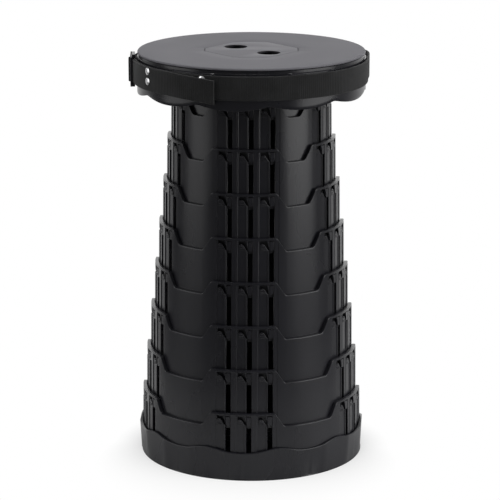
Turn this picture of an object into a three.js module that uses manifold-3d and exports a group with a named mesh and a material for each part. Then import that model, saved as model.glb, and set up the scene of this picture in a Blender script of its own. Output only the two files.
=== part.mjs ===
// Collapsible telescopic stool: a base cup, eight nested plastic rings with guide slots,
// a neck ring under the seat, and a seat tray with a lid, a centre panel and a carrying strap.
// Millimetres, Z up. The origin is the centre of the base's underside, and one group of
// three slots faces -Y. Every ring slides down inside the ring below it.

import * as THREE from 'three';
import { mergeVertices } from 'three/addons/utils/BufferGeometryUtils.js';
import Module from 'manifold-3d';

const wasm = await Module();
wasm.setup();

// Counts
const ringCount = 8;
const groupCount = 5;
const roundSegments = 30;
const baseRibCount = 10;
const footPadCount = 5;
const neckScrewCount = 5;
const skirtLobeCount = 10;
const skirtRecessCount = 6;

// Rings: the lowest one is the widest, and each next one is a step narrower
const ringHeight = 64;
const ringOverlap = 17;
const bottomRingRadius = 120.3;
const ringRadiusStep = 4.82;
const ringDraft = 0.7;
const ringWall = 2.2;
const lipHeight = 2.4;
const runningGap = 0.35;
const seatedGap = 0.3;

// The top edge of a ring: a plateau at each slot group and a low flat between the groups
const plateauHalfWidth = 35;
const plateauFootHalfWidth = 44.5;
const notchDepth = 15;

// Guide slots: three to a group, each with a locking pocket at its top left
const slotWidth = 5.4;
const slotSpacing = 22.5;
const firstSlotCentre = -15.6;
const slotsPerGroup = 3;
const slotTopBand = 2.5;
const slotBottomBand = 4;
const pocketReach = 9.4;
const pocketTopReach = 4;
const pocketShoulder = 11.5;
const pocketDepth = 13;
const lugBackset = 0.3;

// Base cup
const baseFloorThickness = 3;
const baseRibHeight = 7;
const baseRibWidth = 2.4;
const baseRestGap = 0.4;
const baseWall = 3.2;
const baseFlare = 1.6;
const baseHeel = 1.5;
const baseEdgeLow = 31;
const baseEdgeWave = 5.4;
const baseEdgeShares = [0, 0.15, 0.6, 1, 0.7, 0.2, 0.05];
const footPadRadius = 11;
const footPadHeight = 1.6;
const footPadCircleRadius = 95;

// Seat
const seatTravel = 39.6;
const skirtWall = 2.5;
const skirtEdgeGap = 3.2;
const skirtEdgeWave = 4.8;
const skirtEdgeShares = [0, 0.12, 0.5, 1];
const skirtLobeTurn = THREE.MathUtils.degToRad(-4.6);
const skirtRecess = 0.8;
const skirtRecessHalfWidth = 40;
const skirtRecessDepth = 5.4;
const plateThickness = 1.9;
const shoulderDrop = 3.8;
const shoulderWidth = 1.8;
const coverTopThickness = 2.6;
const coverRimWall = 1;
const coverRimDrop = 0.5;
const coverEdgeRadius = 1.3;
const wellRadius = 43;
const wellDepth = 22;
const wellWall = 2;
const seatTurn = THREE.MathUtils.degToRad(4.7);

// Centre panel: a long octagon with two bowed sides and two finger holes
const panelHalfLength = 50.5;
const panelEndHalfWidth = 10;
const panelSideHalfLength = 19;
const panelCornerHalfWidth = 50;
const panelSideBow = 3;
const panelGap = 0.4;
const fingerHoleRadius = 12.5;
const leftHolePlace = [-17, 20];
const rightHolePlace = [18.5, -20];

// Neck ring and its screws
const neckFlangeWidth = 12;
const neckFlangeThickness = 2.7;
const screwHoleRadius = 2.2;
const screwShankRadius = 1.9;
const screwHeadRadius = 3.8;
const screwHeadHeight = 2.4;
const screwBite = 1.8;

// Carrying strap, buckle and rivets
const strapWidth = 25.4;
const strapThickness = 1.8;
const strapDrop = 1.1;
const strapSeatGap = 0.7;
const strapLayerGap = 0.3;
const strapBulge = 8;
const strapTailDroop = 4.7;
const strapSteps = 60;
const buckleBarWidth = 5;
const buckleWindowWidth = 6;
const buckleCentreBarWidth = 4;
const buckleThickness = 2.2;
const buckleEndThickness = 5;
const buckleHeight = 35;
const buckleGap = 0.3;
const rivetHeadRadius = 3.9;
const rivetHeadHeight = 1.3;
const rivetShankRadius = 1.8;
const rivetHoleRadius = 2.1;
const rivetSpacing = 10.6;
const rivetPairRise = 3;
const frontRivetDrop = 4.8;

// Directions round the seat, in degrees from the view line, positive to the right
const buckleAngle = -88;
const rivetPairAngle = -58.5;
const strapTailAngle = -17.5;
const droopStartAngle = -48;
const bulgeAngle = 110;
const bulgeHalfSpan = 22;
const frontRivetAngle = -23.6;
const strapStartLead = 4;
const layerRiseLead = 24;
const layerRiseSpan = 16;
const tailLiftLead = 10;

// One overrun serves all cuts
const overrun = 5;

// Heights that follow from the sizes above
const ringStep = ringHeight - ringOverlap;
const firstRingBottom = baseFloorThickness + baseRibHeight + baseRestGap;
const ringBottom = (index) => firstRingBottom + index * ringStep;
const ringTop = (index) => ringBottom(index) + ringHeight;
const ringRadius = (index) => bottomRingRadius - index * ringRadiusStep;
const topRingTop = ringTop(ringCount - 1);
const foldTravel = (ringCount - 1) * ringStep + seatTravel;
const plateBottom = topRingTop + seatTravel + baseRestGap;
const plateTop = plateBottom + plateThickness;
const coverBottom = plateTop + seatedGap;
const coverTop = coverBottom + coverTopThickness;
const shoulderTop = plateTop - shoulderDrop;
const skirtInner = bottomRingRadius + ringDraft + runningGap - seatedGap;
const skirtOuter = skirtInner + skirtWall;
const strapTop = shoulderTop - strapDrop;
const strapBottom = strapTop - strapWidth;
const strapMiddle = (strapTop + strapBottom) / 2;
const strapInner = skirtOuter + strapSeatGap;
const strapOuterLayer = strapInner + strapThickness + strapLayerGap;
const lugFoot = slotBottomBand + seatedGap;
const lugTop = ringOverlap - slotTopBand - seatedGap;
const groupAngle = (2 * Math.PI) / groupCount;

const radians = THREE.MathUtils.degToRad;
const group = new THREE.Group();

// Surface colours, from the photograph
const colours = {
  blackPlastic: [0x2b2c2e, 0.55, 0],
  greyPlastic: [0x757679, 0.5, 0],
  panelPlastic: [0x828387, 0.5, 0],
  webbing: [0x2a2b2d, 0.9, 0],
  steel: [0xd8d8da, 0.25, 1],
  rubber: [0x1c1c1d, 0.85, 0],
};

// A closed three.js geometry as a solid that can be joined and cut
function solidOf(geometry) {
  const bare = geometry.clone();
  bare.deleteAttribute('normal');
  bare.deleteAttribute('uv');
  const merged = mergeVertices(bare, 1e-4);
  const mesh = new wasm.Mesh({
    numProp: 3,
    vertProperties: merged.attributes.position.array,
    triVerts: new Uint32Array(merged.index.array),
  });
  return new wasm.Manifold(mesh);
}

// A solid as a named mesh of the stool
function addPiece(name, solid, [colour, roughness, metalness]) {
  const made = solid.getMesh();
  const geometry = new THREE.BufferGeometry();
  const count = made.numProp;
  const positions = new Float32Array(made.numVert * 3);
  for (let i = 0; i < made.numVert; i++) {
    positions.set(made.vertProperties.subarray(i * count, i * count + 3), i * 3);
  }
  geometry.setAttribute('position', new THREE.BufferAttribute(positions, 3));
  geometry.setIndex(new THREE.BufferAttribute(made.triVerts, 1));
  geometry.computeVertexNormals();
  const material = new THREE.MeshStandardMaterial({ color: colour, roughness, metalness });
  const mesh = new THREE.Mesh(geometry, material);
  mesh.name = name;
  group.add(mesh);
}

// A round shell or disc turned about Z from a closed outline of [radius, height] points,
// listed anticlockwise with the axis on the left
function turned(outline, segments = roundSegments) {
  const points = [...outline, outline[0]].map(([r, z]) => new THREE.Vector2(r, z));
  const geometry = new THREE.LatheGeometry(points, segments);
  geometry.rotateX(Math.PI / 2);
  return solidOf(geometry);
}

// A round bar along Z between two heights
function bar(radius, bottom, top, segments = 16) {
  const geometry = new THREE.CylinderGeometry(radius, radius, top - bottom, segments);
  geometry.rotateX(Math.PI / 2);
  geometry.translate(0, 0, (top + bottom) / 2);
  return solidOf(geometry);
}

// A box between two corners
function block([x0, y0, z0], [x1, y1, z1]) {
  const geometry = new THREE.BoxGeometry(x1 - x0, y1 - y0, z1 - z0);
  geometry.translate((x0 + x1) / 2, (y0 + y1) / 2, (z0 + z1) / 2);
  return solidOf(geometry);
}

function shapeOf(points) {
  return new THREE.Shape(points.map(([x, y]) => new THREE.Vector2(x, y)));
}

// A plan outline raised between two heights
function raised(shape, bottom, top) {
  const depth = top - bottom;
  const geometry = new THREE.ExtrudeGeometry(shape, { depth, bevelEnabled: false, curveSegments: 6 });
  geometry.translate(0, 0, bottom);
  return solidOf(geometry);
}

// An outline of [sideways, height] points pushed outwards from the axis, towards -Y
function pushedOut(points, from, to) {
  const depth = to - from;
  const geometry = new THREE.ExtrudeGeometry(shapeOf(points), { depth, bevelEnabled: false });
  geometry.rotateX(Math.PI / 2);
  geometry.translate(0, -from, 0);
  return solidOf(geometry);
}

// A pin along the direction -Y between two distances from the axis
function pinOut(radius, from, to, height, segments = 12) {
  const geometry = new THREE.CylinderGeometry(radius, radius, to - from, segments);
  geometry.translate(0, -(from + to) / 2, height);
  return solidOf(geometry);
}

function turnAbout(solid, angle) {
  return solid.rotate([0, 0, THREE.MathUtils.radToDeg(angle)]);
}

// A turn about Z for a place given in degrees from the view line
const seatAngle = (degrees) => radians(degrees) + seatTurn;

function joined(solids) {
  return solids.reduce((sum, solid) => sum.add(solid));
}

// Copies of a solid, spread evenly round the axis
function spreadRound(solid, count) {
  return Array.from({ length: count }, (unused, k) => turnAbout(solid, (k * 2 * Math.PI) / count));
}

const atEachGroup = (solid) => spreadRound(solid, groupCount);

// A ring whose closed [radius, height] outline changes with the angle
function sweptRing(outlineAt) {
  const columns = [];
  for (let s = 0; s < roundSegments; s++) {
    const angle = (s * 2 * Math.PI) / roundSegments;
    columns.push(outlineAt(angle).map(([r, z]) => [r * Math.sin(angle), -r * Math.cos(angle), z]));
  }
  const rows = columns[0].length;
  const index = [];
  for (let s = 0; s < roundSegments; s++) {
    const next = ((s + 1) % roundSegments) * rows;
    for (let r = 0; r < rows; r++) {
      const a = s * rows + r;
      const b = s * rows + ((r + 1) % rows);
      const c = next + ((r + 1) % rows);
      const d = next + r;
      index.push(a, d, c, a, c, b);
    }
  }
  const geometry = new THREE.BufferGeometry();
  geometry.setAttribute('position', new THREE.Float32BufferAttribute(columns.flat(2), 3));
  geometry.setIndex(index);
  return solidOf(geometry);
}

// How far a wavy edge has risen at an angle: it is lowest in the middle of each lobe
function waveShare(angle, shares, lobes) {
  const span = Math.PI / lobes;
  const offset = Math.abs(THREE.MathUtils.euclideanModulo(angle + span, 2 * span) - span);
  const place = (offset / span) * (shares.length - 1);
  const lower = Math.min(Math.floor(place), shares.length - 2);
  return THREE.MathUtils.lerp(shares[lower], shares[lower + 1], place - lower);
}

function baseEdge(angle) {
  return baseEdgeLow + baseEdgeWave * waveShare(angle, baseEdgeShares, groupCount);
}

function skirtEdge(angle) {
  const low = baseEdgeLow + skirtEdgeGap + foldTravel;
  return low + skirtEdgeWave * waveShare(angle - skirtLobeTurn, skirtEdgeShares, skirtLobeCount);
}

// What is cut from every ring between the plateaus, at heights from the ring's top
function makeNotchTool() {
  const reach = bottomRingRadius + ringDraft + overrun;
  const core = ringRadius(ringCount) / 2;
  const band = turned([
    [core, -notchDepth],
    [reach, -notchDepth],
    [reach, overrun],
    [core, overrun],
  ]);
  const slope = (plateauFootHalfWidth - plateauHalfWidth) / notchDepth;
  const outline = [
    [-plateauFootHalfWidth - overrun * slope, -notchDepth - overrun],
    [plateauFootHalfWidth + overrun * slope, -notchDepth - overrun],
    [plateauHalfWidth, 0],
    [plateauHalfWidth, overrun * 2],
    [-plateauHalfWidth, overrun * 2],
    [-plateauHalfWidth, 0],
  ];
  const plateaus = atEachGroup(pushedOut(outline, core / 2, reach + overrun));
  return band.subtract(joined(plateaus));
}

const slotCentres = Array.from(
  { length: slotsPerGroup },
  (unused, k) => firstSlotCentre + k * slotSpacing,
);

// All guide slots with their pockets, at heights from a ring's top
function makeSlotTool() {
  const reach = bottomRingRadius + ringDraft + overrun;
  const core = ringRadius(ringCount) / 2;
  const top = -slotTopBand;
  const slots = slotCentres.map((centre) => {
    const left = centre - slotWidth / 2;
    const right = centre + slotWidth / 2;
    const outline = [
      [left, slotBottomBand - ringHeight],
      [right, slotBottomBand - ringHeight],
      [right, top],
      [left, top],
      [left, -pocketShoulder],
      [left - pocketTopReach, top],
      [left - pocketReach, top],
      [left - pocketReach, -pocketDepth],
      [left, -pocketDepth],
    ];
    return pushedOut(outline, core, reach);
  });
  return joined(atEachGroup(joined(slots)).flat());
}

// The blocks that the lugs are trimmed from, one in each group's middle slot, at heights
// from the foot of its ring
function makeLugTool() {
  const reach = bottomRingRadius + ringDraft + overrun;
  const core = ringRadius(ringCount) / 2;
  const halfWidth = slotWidth / 2 - runningGap;
  const centre = slotCentres[Math.floor(slotsPerGroup / 2)];
  const low = [centre - halfWidth, -reach, -overrun];
  const high = [centre + halfWidth, -core, lugTop + overrun];
  return joined(atEachGroup(block(low, high)));
}

const notchTool = makeNotchTool();
const slotTool = makeSlotTool();
const lugTool = makeLugTool();

// Snap lugs: fingers that rise from a ring's foot and reach out into the slots of the ring
// around it, clear of the slots in their own ring
function lugsFor(radius, aroundRadius, foot) {
  const root = radius - ringWall / 2;
  const fingerInner = radius + ringDraft + runningGap;
  const fingerOuter = aroundRadius - ringWall - runningGap;
  const face = aroundRadius - lugBackset;
  const band = turned([
    [root, foot],
    [fingerOuter, foot],
    [fingerOuter, foot + lugFoot],
    [face, foot + lugFoot],
    [face, foot + lugTop],
    [fingerInner, foot + lugTop],
    [fingerInner, foot + slotBottomBand],
    [root, foot + slotBottomBand],
  ]);
  return lugTool.translate([0, 0, foot]).intersect(band);
}

// One ring: a thin drafted wall with a thick lip along its stepped top edge
function makeRing(index) {
  const radius = ringRadius(index);
  const foot = radius + ringDraft;
  const bottom = ringBottom(index);
  const top = ringTop(index);
  const lipInner = ringRadius(index + 1) + ringDraft + runningGap;
  const tube = turned([
    [lipInner, bottom],
    [foot, bottom],
    [radius, top],
    [lipInner, top],
  ]);
  const hollow = turned([
    [lipInner - overrun, bottom - overrun],
    [foot - ringWall, bottom - overrun],
    [foot - ringWall, bottom],
    [radius - ringWall, top - lipHeight],
    [lipInner - overrun, top - lipHeight],
  ]);
  const hollowCut = hollow.subtract(notchTool.translate([0, 0, top - lipHeight]));
  const blank = tube.subtract(notchTool.translate([0, 0, top])).subtract(hollowCut);
  const slotted = blank.subtract(slotTool.translate([0, 0, top]));
  if (index === 0) return slotted;
  return slotted.add(lugsFor(radius, ringRadius(index - 1), bottom));
}

// The ring under the seat, with an inner flange for its screws
function makeNeckRing() {
  const radius = ringRadius(ringCount);
  const foot = radius + ringDraft;
  const bottom = topRingTop - ringOverlap;
  const top = plateBottom - seatedGap;
  const flangeInner = radius - ringWall - neckFlangeWidth;
  const tube = turned([
    [foot - ringWall, bottom],
    [foot, bottom],
    [radius, top],
    [flangeInner, top],
    [flangeInner, top - neckFlangeThickness],
    [radius - ringWall, top - neckFlangeThickness],
  ]);
  const lugs = lugsFor(radius, ringRadius(ringCount - 1), bottom);
  const screwHole = bar(screwHoleRadius, top - overrun, top + overrun, 8);
  return neckScrewPlaces().reduce(
    (ring, [x, y]) => ring.subtract(screwHole.translate([x, y, 0])),
    tube.add(lugs),
  );
}

function placesOnCircle(count, radius, startAngle) {
  return Array.from({ length: count }, (unused, k) => {
    const angle = startAngle + (k * 2 * Math.PI) / count;
    return [radius * Math.sin(angle), -radius * Math.cos(angle)];
  });
}

function neckScrewPlaces() {
  const circle = ringRadius(ringCount) - ringWall - neckFlangeWidth / 2;
  return placesOnCircle(neckScrewCount, circle, groupAngle / 2);
}

function makeNeckScrew([x, y]) {
  const flangeBottom = plateBottom - seatedGap - neckFlangeThickness;
  const headTop = flangeBottom - seatedGap;
  const head = bar(screwHeadRadius, headTop - screwHeadHeight, headTop, 10);
  const shank = bar(screwShankRadius, headTop - screwHeadHeight / 2, plateBottom + screwBite, 8);
  return head.add(shank).translate([x, y, 0]);
}

// The base: a ribbed floor in a low wall with a wavy edge
function footPadPlaces() {
  return placesOnCircle(footPadCount, footPadCircleRadius, groupAngle / 2);
}

function makeBaseCup() {
  const inner = bottomRingRadius + ringDraft + seatedGap;
  const outerTop = inner + baseWall;
  const outerFoot = outerTop - baseFlare;
  const wall = sweptRing((angle) => [
    [inner, 0],
    [outerFoot - baseHeel, 0],
    [outerFoot, baseHeel],
    [outerTop, baseEdge(angle)],
    [inner, baseEdge(angle)],
  ]);
  const floorRadius = inner + baseWall / 4;
  const floor = bar(floorRadius, 0, baseFloorThickness, roundSegments);
  const ribTop = baseFloorThickness + baseRibHeight;
  const hub = bar(baseRibHeight * 2, baseFloorThickness / 2, ribTop, 20);
  const low = [-baseRibWidth / 2, -floorRadius, baseFloorThickness / 2];
  const high = [baseRibWidth / 2, -baseRibHeight, ribTop];
  const rib = block(low, high);
  const ribs = spreadRound(turnAbout(rib, Math.PI / baseRibCount), baseRibCount);
  const body = joined([wall, floor, hub, ...ribs]);
  const recess = bar(footPadRadius + seatedGap, -overrun, footPadHeight + seatedGap, 20);
  return footPadPlaces().reduce((cup, [x, y]) => cup.subtract(recess.translate([x, y, 0])), body);
}

// Shallow recesses along the top of the skirt, with short ledges left between them
function makeSkirtRecesses() {
  const floor = skirtOuter - skirtRecess;
  const reach = skirtOuter + overrun;
  const top = shoulderTop + overrun;
  const band = turned([
    [floor, shoulderTop - skirtRecessDepth],
    [reach, shoulderTop - skirtRecessDepth],
    [reach, top],
    [floor, top],
  ]);
  const low = [-skirtRecessHalfWidth, -reach, shoulderTop - 2 * skirtRecessDepth];
  const high = [skirtRecessHalfWidth, -floor / 2, top + overrun];
  const places = spreadRound(block(low, high), skirtRecessCount);
  return turnAbout(joined(places), seatTurn).intersect(band);
}

// The seat's underside: a plate with a central well, in a deep skirt
function makeSeatTray() {
  const plateRim = skirtOuter - shoulderWidth;
  const plateInner = plateRim - overrun;
  const skirt = sweptRing((angle) => [
    [skirtInner, skirtEdge(angle)],
    [skirtOuter, skirtEdge(angle)],
    [skirtOuter, shoulderTop],
    [plateRim, shoulderTop],
    [plateRim, plateTop],
    [plateInner, plateTop],
    [plateInner, plateBottom],
    [skirtInner, plateBottom],
  ]);
  const wellOuter = wellRadius + wellWall;
  const wellBottom = plateTop - wellDepth - wellWall;
  const plate = turned([
    [wellOuter - wellWall / 2, plateBottom],
    [plateInner + overrun / 5, plateBottom],
    [plateInner + overrun / 5, plateTop],
    [wellOuter - wellWall / 2, plateTop],
  ]);
  const cup = bar(wellOuter, wellBottom, plateTop, roundSegments);
  const bore = bar(wellRadius, wellBottom + wellWall, plateTop + overrun, roundSegments);
  const body = joined([skirt, plate, cup]).subtract(bore).subtract(makeSkirtRecesses());
  const screwHoleTop = plateBottom + screwBite + seatedGap;
  const screwHole = bar(screwHoleRadius, plateBottom - overrun, screwHoleTop, 8);
  const drilled = neckScrewPlaces().reduce(
    (tray, [x, y]) => tray.subtract(screwHole.translate([x, y, 0])),
    body,
  );
  return rivetPlaces().reduce((tray, place) => tray.subtract(rivetHole(place)), drilled);
}

// The octagonal outline of the centre panel, drawn in by a margin
function panelShape(margin) {
  const length = panelHalfLength - margin;
  const corner = panelCornerHalfWidth - margin;
  const side = panelSideHalfLength;
  const end = panelEndHalfWidth;
  const bow = corner + 2 * panelSideBow;
  const shape = new THREE.Shape();
  shape.moveTo(length, -end);
  shape.lineTo(length, end);
  shape.lineTo(side, corner);
  shape.quadraticCurveTo(0, bow, -side, corner);
  shape.lineTo(-length, end);
  shape.lineTo(-length, -end);
  shape.lineTo(-side, -corner);
  shape.quadraticCurveTo(0, -bow, side, -corner);
  shape.closePath();
  return shape;
}

function makeSeatCover() {
  const rimInner = skirtOuter - shoulderWidth + seatedGap;
  const rimOuter = rimInner + coverRimWall;
  const hollowCore = panelSideHalfLength;
  const outline = [
    [hollowCore, coverBottom],
    [rimInner, coverBottom],
    [rimInner, coverBottom - coverRimDrop],
    [rimOuter, coverBottom - coverRimDrop],
  ];
  for (let k = 0; k <= 4; k++) {
    const turn = (k * Math.PI) / 8;
    const r = rimOuter - coverEdgeRadius * (1 - Math.cos(turn));
    outline.push([r, coverTop - coverEdgeRadius * (1 - Math.sin(turn))]);
  }
  outline.push([hollowCore, coverTop]);
  const opening = raised(panelShape(0), coverBottom - overrun, coverTop + overrun);
  return turned(outline).subtract(turnAbout(opening, seatTurn));
}

function makeCentrePanel() {
  const shape = panelShape(panelGap);
  for (const [x, y] of [leftHolePlace, rightHolePlace]) {
    const hole = new THREE.Path();
    hole.absarc(x, y, fingerHoleRadius, 0, 2 * Math.PI, true);
    shape.holes.push(hole);
  }
  return turnAbout(raised(shape, coverBottom, coverTop), seatTurn);
}

// The strap in plan: its inner face's distance from the axis at an angle along its run.
// It starts under the tail, passes the front, the right side and the back, weaves through
// the buckle and lies over itself as the free tail.
const fullTurn = 360;
const strapStart = buckleAngle + strapStartLead;
const strapEnd = strapTailAngle + fullTurn;
const buckleRun = buckleAngle + fullTurn;
const weaveFlat = buckleCentreBarWidth / 2 + buckleGap * 3;
const weaveClear = buckleCentreBarWidth / 2 + buckleWindowWidth - buckleGap * 2;
const buckleHalfLength = buckleCentreBarWidth / 2 + buckleWindowWidth + buckleBarWidth;

function strapInnerFace(run) {
  const toBulge = Math.min(Math.abs(run - bulgeAngle) / bulgeHalfSpan, 1);
  const bulge = strapBulge * 0.5 * (1 + Math.cos(Math.PI * toBulge));
  const layerStart = buckleRun - layerRiseLead;
  const layerShare = THREE.MathUtils.smoothstep(run, layerStart, layerStart + layerRiseSpan);
  const layer = (strapThickness + strapLayerGap) * layerShare;
  const sideways = Math.abs(radians(run - buckleRun)) * strapOuterLayer;
  const toBar = THREE.MathUtils.clamp((sideways - weaveFlat) / (weaveClear - weaveFlat), 0, 1);
  const weave = 1 - toBar;
  const lift = buckleThickness + strapThickness + 2 * buckleGap;
  const tailFrom = droopStartAngle + fullTurn;
  const tailTo = frontRivetAngle - tailLiftLead + fullTurn;
  const tailShare = THREE.MathUtils.smoothstep(run, tailFrom, tailTo);
  const tailLift = (rivetHeadHeight + seatedGap) * tailShare;
  return strapInner + bulge + layer + lift * weave + tailLift;
}

function strapAngles() {
  const places = [weaveFlat, (weaveFlat + weaveClear) / 2, weaveClear, buckleHalfLength];
  const turns = places.map((place) => THREE.MathUtils.radToDeg(place / strapOuterLayer));
  const near = turns.flatMap((turn) => [buckleRun - turn, buckleRun + turn]);
  const stepAngle = fullTurn / strapSteps;
  const steps = [];
  for (let run = strapStart; run < strapEnd; run += stepAngle) {
    if (Math.abs(run - buckleRun) > stepAngle) steps.push(run);
  }
  return [...steps, ...near, strapEnd].sort((a, b) => a - b);
}

function makeStrap() {
  const place = (run, extra) => {
    const angle = seatAngle(run);
    const r = strapInnerFace(run) + extra;
    return [r * Math.sin(angle), -r * Math.cos(angle)];
  };
  const runs = strapAngles();
  const outer = runs.map((run) => place(run, strapThickness));
  const inner = runs.map((run) => place(run, 0)).reverse();
  const shape = shapeOf([...outer, ...inner]);
  const geometry = new THREE.ExtrudeGeometry(shape, { depth: strapWidth, bevelEnabled: false });
  geometry.translate(0, 0, strapBottom);
  droopTail(geometry);
  const strap = solidOf(geometry);
  return rivetPlaces().reduce((band, spot) => band.subtract(rivetHole(spot)), strap);
}

// The free tail sags towards its cut end
function droopTail(geometry) {
  const points = geometry.attributes.position;
  const split = strapInner + strapThickness + strapLayerGap / 2;
  const start = seatAngle(droopStartAngle);
  const end = seatAngle(strapTailAngle);
  for (let i = 0; i < points.count; i++) {
    const x = points.getX(i);
    const y = points.getY(i);
    const angle = Math.atan2(x, -y);
    const onTail = Math.hypot(x, y) > split && angle > start && angle <= end + radians(1);
    if (onTail) {
      const share = THREE.MathUtils.clamp((angle - start) / (end - start), 0, 1);
      points.setZ(i, points.getZ(i) - strapTailDroop * share * share);
    }
  }
}

// The buckle: a flat frame with a bar between two windows, thicker above and below the strap
function makeBuckle() {
  const half = buckleHalfLength;
  const inner = strapOuterLayer + strapThickness + buckleGap;
  const outer = inner + buckleThickness;
  const corner = buckleBarWidth / 2;
  const high = buckleHeight / 2;
  const outline = [
    [-half + corner, strapMiddle - high],
    [half - corner, strapMiddle - high],
    [half, strapMiddle - high + corner],
    [half, strapMiddle + high - corner],
    [half - corner, strapMiddle + high],
    [-half + corner, strapMiddle + high],
    [-half, strapMiddle + high - corner],
    [-half, strapMiddle - high + corner],
  ];
  const frame = pushedOut(outline, inner, outer);
  const near = buckleCentreBarWidth / 2;
  const far = near + buckleWindowWidth;
  const reach = strapWidth / 2 + buckleGap * 2;
  const windowCut = (from, to) => {
    const low = [from, -outer - overrun, strapMiddle - reach];
    const high = [to, overrun - inner, strapMiddle + reach];
    return block(low, high);
  };
  const cut = frame.subtract(windowCut(near, far)).subtract(windowCut(-far, -near));
  const ends = [1, -1].map((side) => {
    const heights = [strapMiddle + side * reach, strapMiddle + side * high];
    const low = [corner - half, -outer, Math.min(...heights)];
    const top = [half - corner, buckleEndThickness - outer, Math.max(...heights)];
    return block(low, top);
  });
  return turnAbout(joined([cut, ...ends]), seatAngle(buckleAngle));
}

// Rivets: two through both layers of the strap, and one through the inner layer at the front,
// half under the tail
function rivetPlaces() {
  const pairFace = strapOuterLayer + strapThickness;
  const frontFace = strapInner + strapThickness;
  const pairMiddle = strapMiddle + rivetPairRise;
  const high = pairMiddle + rivetSpacing / 2;
  const low = pairMiddle - rivetSpacing / 2;
  const front = strapTop - frontRivetDrop;
  return [
    { name: 'strap_rivet_upper', angle: rivetPairAngle, height: high, face: pairFace },
    { name: 'strap_rivet_lower', angle: rivetPairAngle, height: low, face: pairFace },
    { name: 'front_rivet', angle: frontRivetAngle, height: front, face: frontFace },
  ];
}

function rivetHole({ angle, height, face }) {
  const hole = pinOut(rivetHoleRadius, skirtInner - overrun, face + strapLayerGap / 2, height, 10);
  return turnAbout(hole, seatAngle(angle));
}

function makeRivet({ angle, height, face }) {
  const headFoot = face + seatedGap;
  const head = pinOut(rivetHeadRadius, headFoot, headFoot + rivetHeadHeight, height, 16);
  const shankTop = headFoot + rivetHeadHeight / 2;
  const shank = pinOut(rivetShankRadius, skirtInner + seatedGap, shankTop, height, 10);
  return turnAbout(head.add(shank), seatAngle(angle));
}

// Base
addPiece('base_cup', makeBaseCup(), colours.blackPlastic);
footPadPlaces().forEach(([x, y], k) => {
  const pad = bar(footPadRadius, 0, footPadHeight, 20).translate([x, y, 0]);
  addPiece(`foot_pad_${k + 1}`, pad, colours.rubber);
});

// Rings
for (let index = 0; index < ringCount; index++) {
  addPiece(`ring_${index + 1}`, makeRing(index), colours.blackPlastic);
}
addPiece('neck_ring', makeNeckRing(), colours.blackPlastic);
neckScrewPlaces().forEach((place, k) => {
  addPiece(`neck_screw_${k + 1}`, makeNeckScrew(place), colours.steel);
});

// Seat
addPiece('seat_tray', makeSeatTray(), colours.blackPlastic);
addPiece('seat_cover', makeSeatCover(), colours.greyPlastic);
addPiece('centre_panel', makeCentrePanel(), colours.panelPlastic);

// Strap
addPiece('carry_strap', makeStrap(), colours.webbing);
addPiece('strap_buckle', makeBuckle(), colours.blackPlastic);
rivetPlaces().forEach((place) => addPiece(place.name, makeRivet(place), colours.steel));

export default group;
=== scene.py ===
# %% [markdown]
# # A telescopic stool that folds into its own seat
#
# The object is a plastic camping stool. Eight rings slide inside each other like the
# tubes of a telescope, between a low base cup and a round seat with a carrying strap.
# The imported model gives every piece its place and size, so the first step is to load it
# and to keep its box. The looks built here may not grow past that box.

# %% Load the frame
import math

import bmesh
import bpy
from mathutils import Matrix, Vector


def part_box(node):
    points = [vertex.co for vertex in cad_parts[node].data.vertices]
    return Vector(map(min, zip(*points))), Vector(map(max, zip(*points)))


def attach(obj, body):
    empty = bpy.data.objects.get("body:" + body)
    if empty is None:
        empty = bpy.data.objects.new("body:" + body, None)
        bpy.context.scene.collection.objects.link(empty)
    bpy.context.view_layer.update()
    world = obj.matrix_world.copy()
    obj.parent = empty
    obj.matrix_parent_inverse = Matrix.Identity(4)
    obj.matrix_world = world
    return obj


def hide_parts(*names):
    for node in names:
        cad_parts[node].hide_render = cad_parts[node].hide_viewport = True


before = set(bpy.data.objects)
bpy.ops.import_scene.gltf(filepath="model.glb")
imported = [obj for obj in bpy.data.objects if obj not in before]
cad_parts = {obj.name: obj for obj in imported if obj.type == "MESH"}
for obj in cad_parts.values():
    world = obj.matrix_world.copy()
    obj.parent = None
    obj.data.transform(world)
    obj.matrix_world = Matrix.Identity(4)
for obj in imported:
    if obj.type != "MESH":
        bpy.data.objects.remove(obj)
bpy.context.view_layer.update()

# %% [markdown]
# ## The camera
#
# The photograph was taken with a long lens from about two and a half metres, a little
# above the seat. The distance, height and tilt come from the ellipses of the ring edges:
# how open each one looks fixes how steeply the camera looks down on it, and they open
# more towards the base. A fit over all the edges at once settles these numbers. A last
# small turn to the side puts the column where the picture has it.

# %% Camera
VIEW_TURN = math.radians(4.7)
CAMERA_DISTANCE = 2.5696
CAMERA_HEIGHT = 0.8701
CAMERA_TILT = math.radians(14.086)
CAMERA_RANGE = 50.0
FOCAL_PIXELS = 2407.0
PICTURE_PIXELS = 500.0
SIDE_PIXELS = 1.5
SENSOR = 36.0
SIDE_STEP = SIDE_PIXELS / FOCAL_PIXELS


def add_camera():
    data = bpy.data.cameras.new("view_camera")
    data.lens = FOCAL_PIXELS / PICTURE_PIXELS * SENSOR
    data.sensor_width = SENSOR
    data.clip_end = CAMERA_RANGE
    camera = bpy.data.objects.new("view_camera", data)
    bpy.context.collection.objects.link(camera)
    across = CAMERA_DISTANCE * math.sin(VIEW_TURN)
    back = -CAMERA_DISTANCE * math.cos(VIEW_TURN)
    camera.location = (across, back, CAMERA_HEIGHT)
    camera.rotation_euler = (math.pi / 2 - CAMERA_TILT, 0.0, VIEW_TURN + SIDE_STEP)
    bpy.context.scene.camera = camera
    return camera


camera = add_camera()
print("camera stands", round(camera.location.length, 3), "m from the origin")

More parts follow.
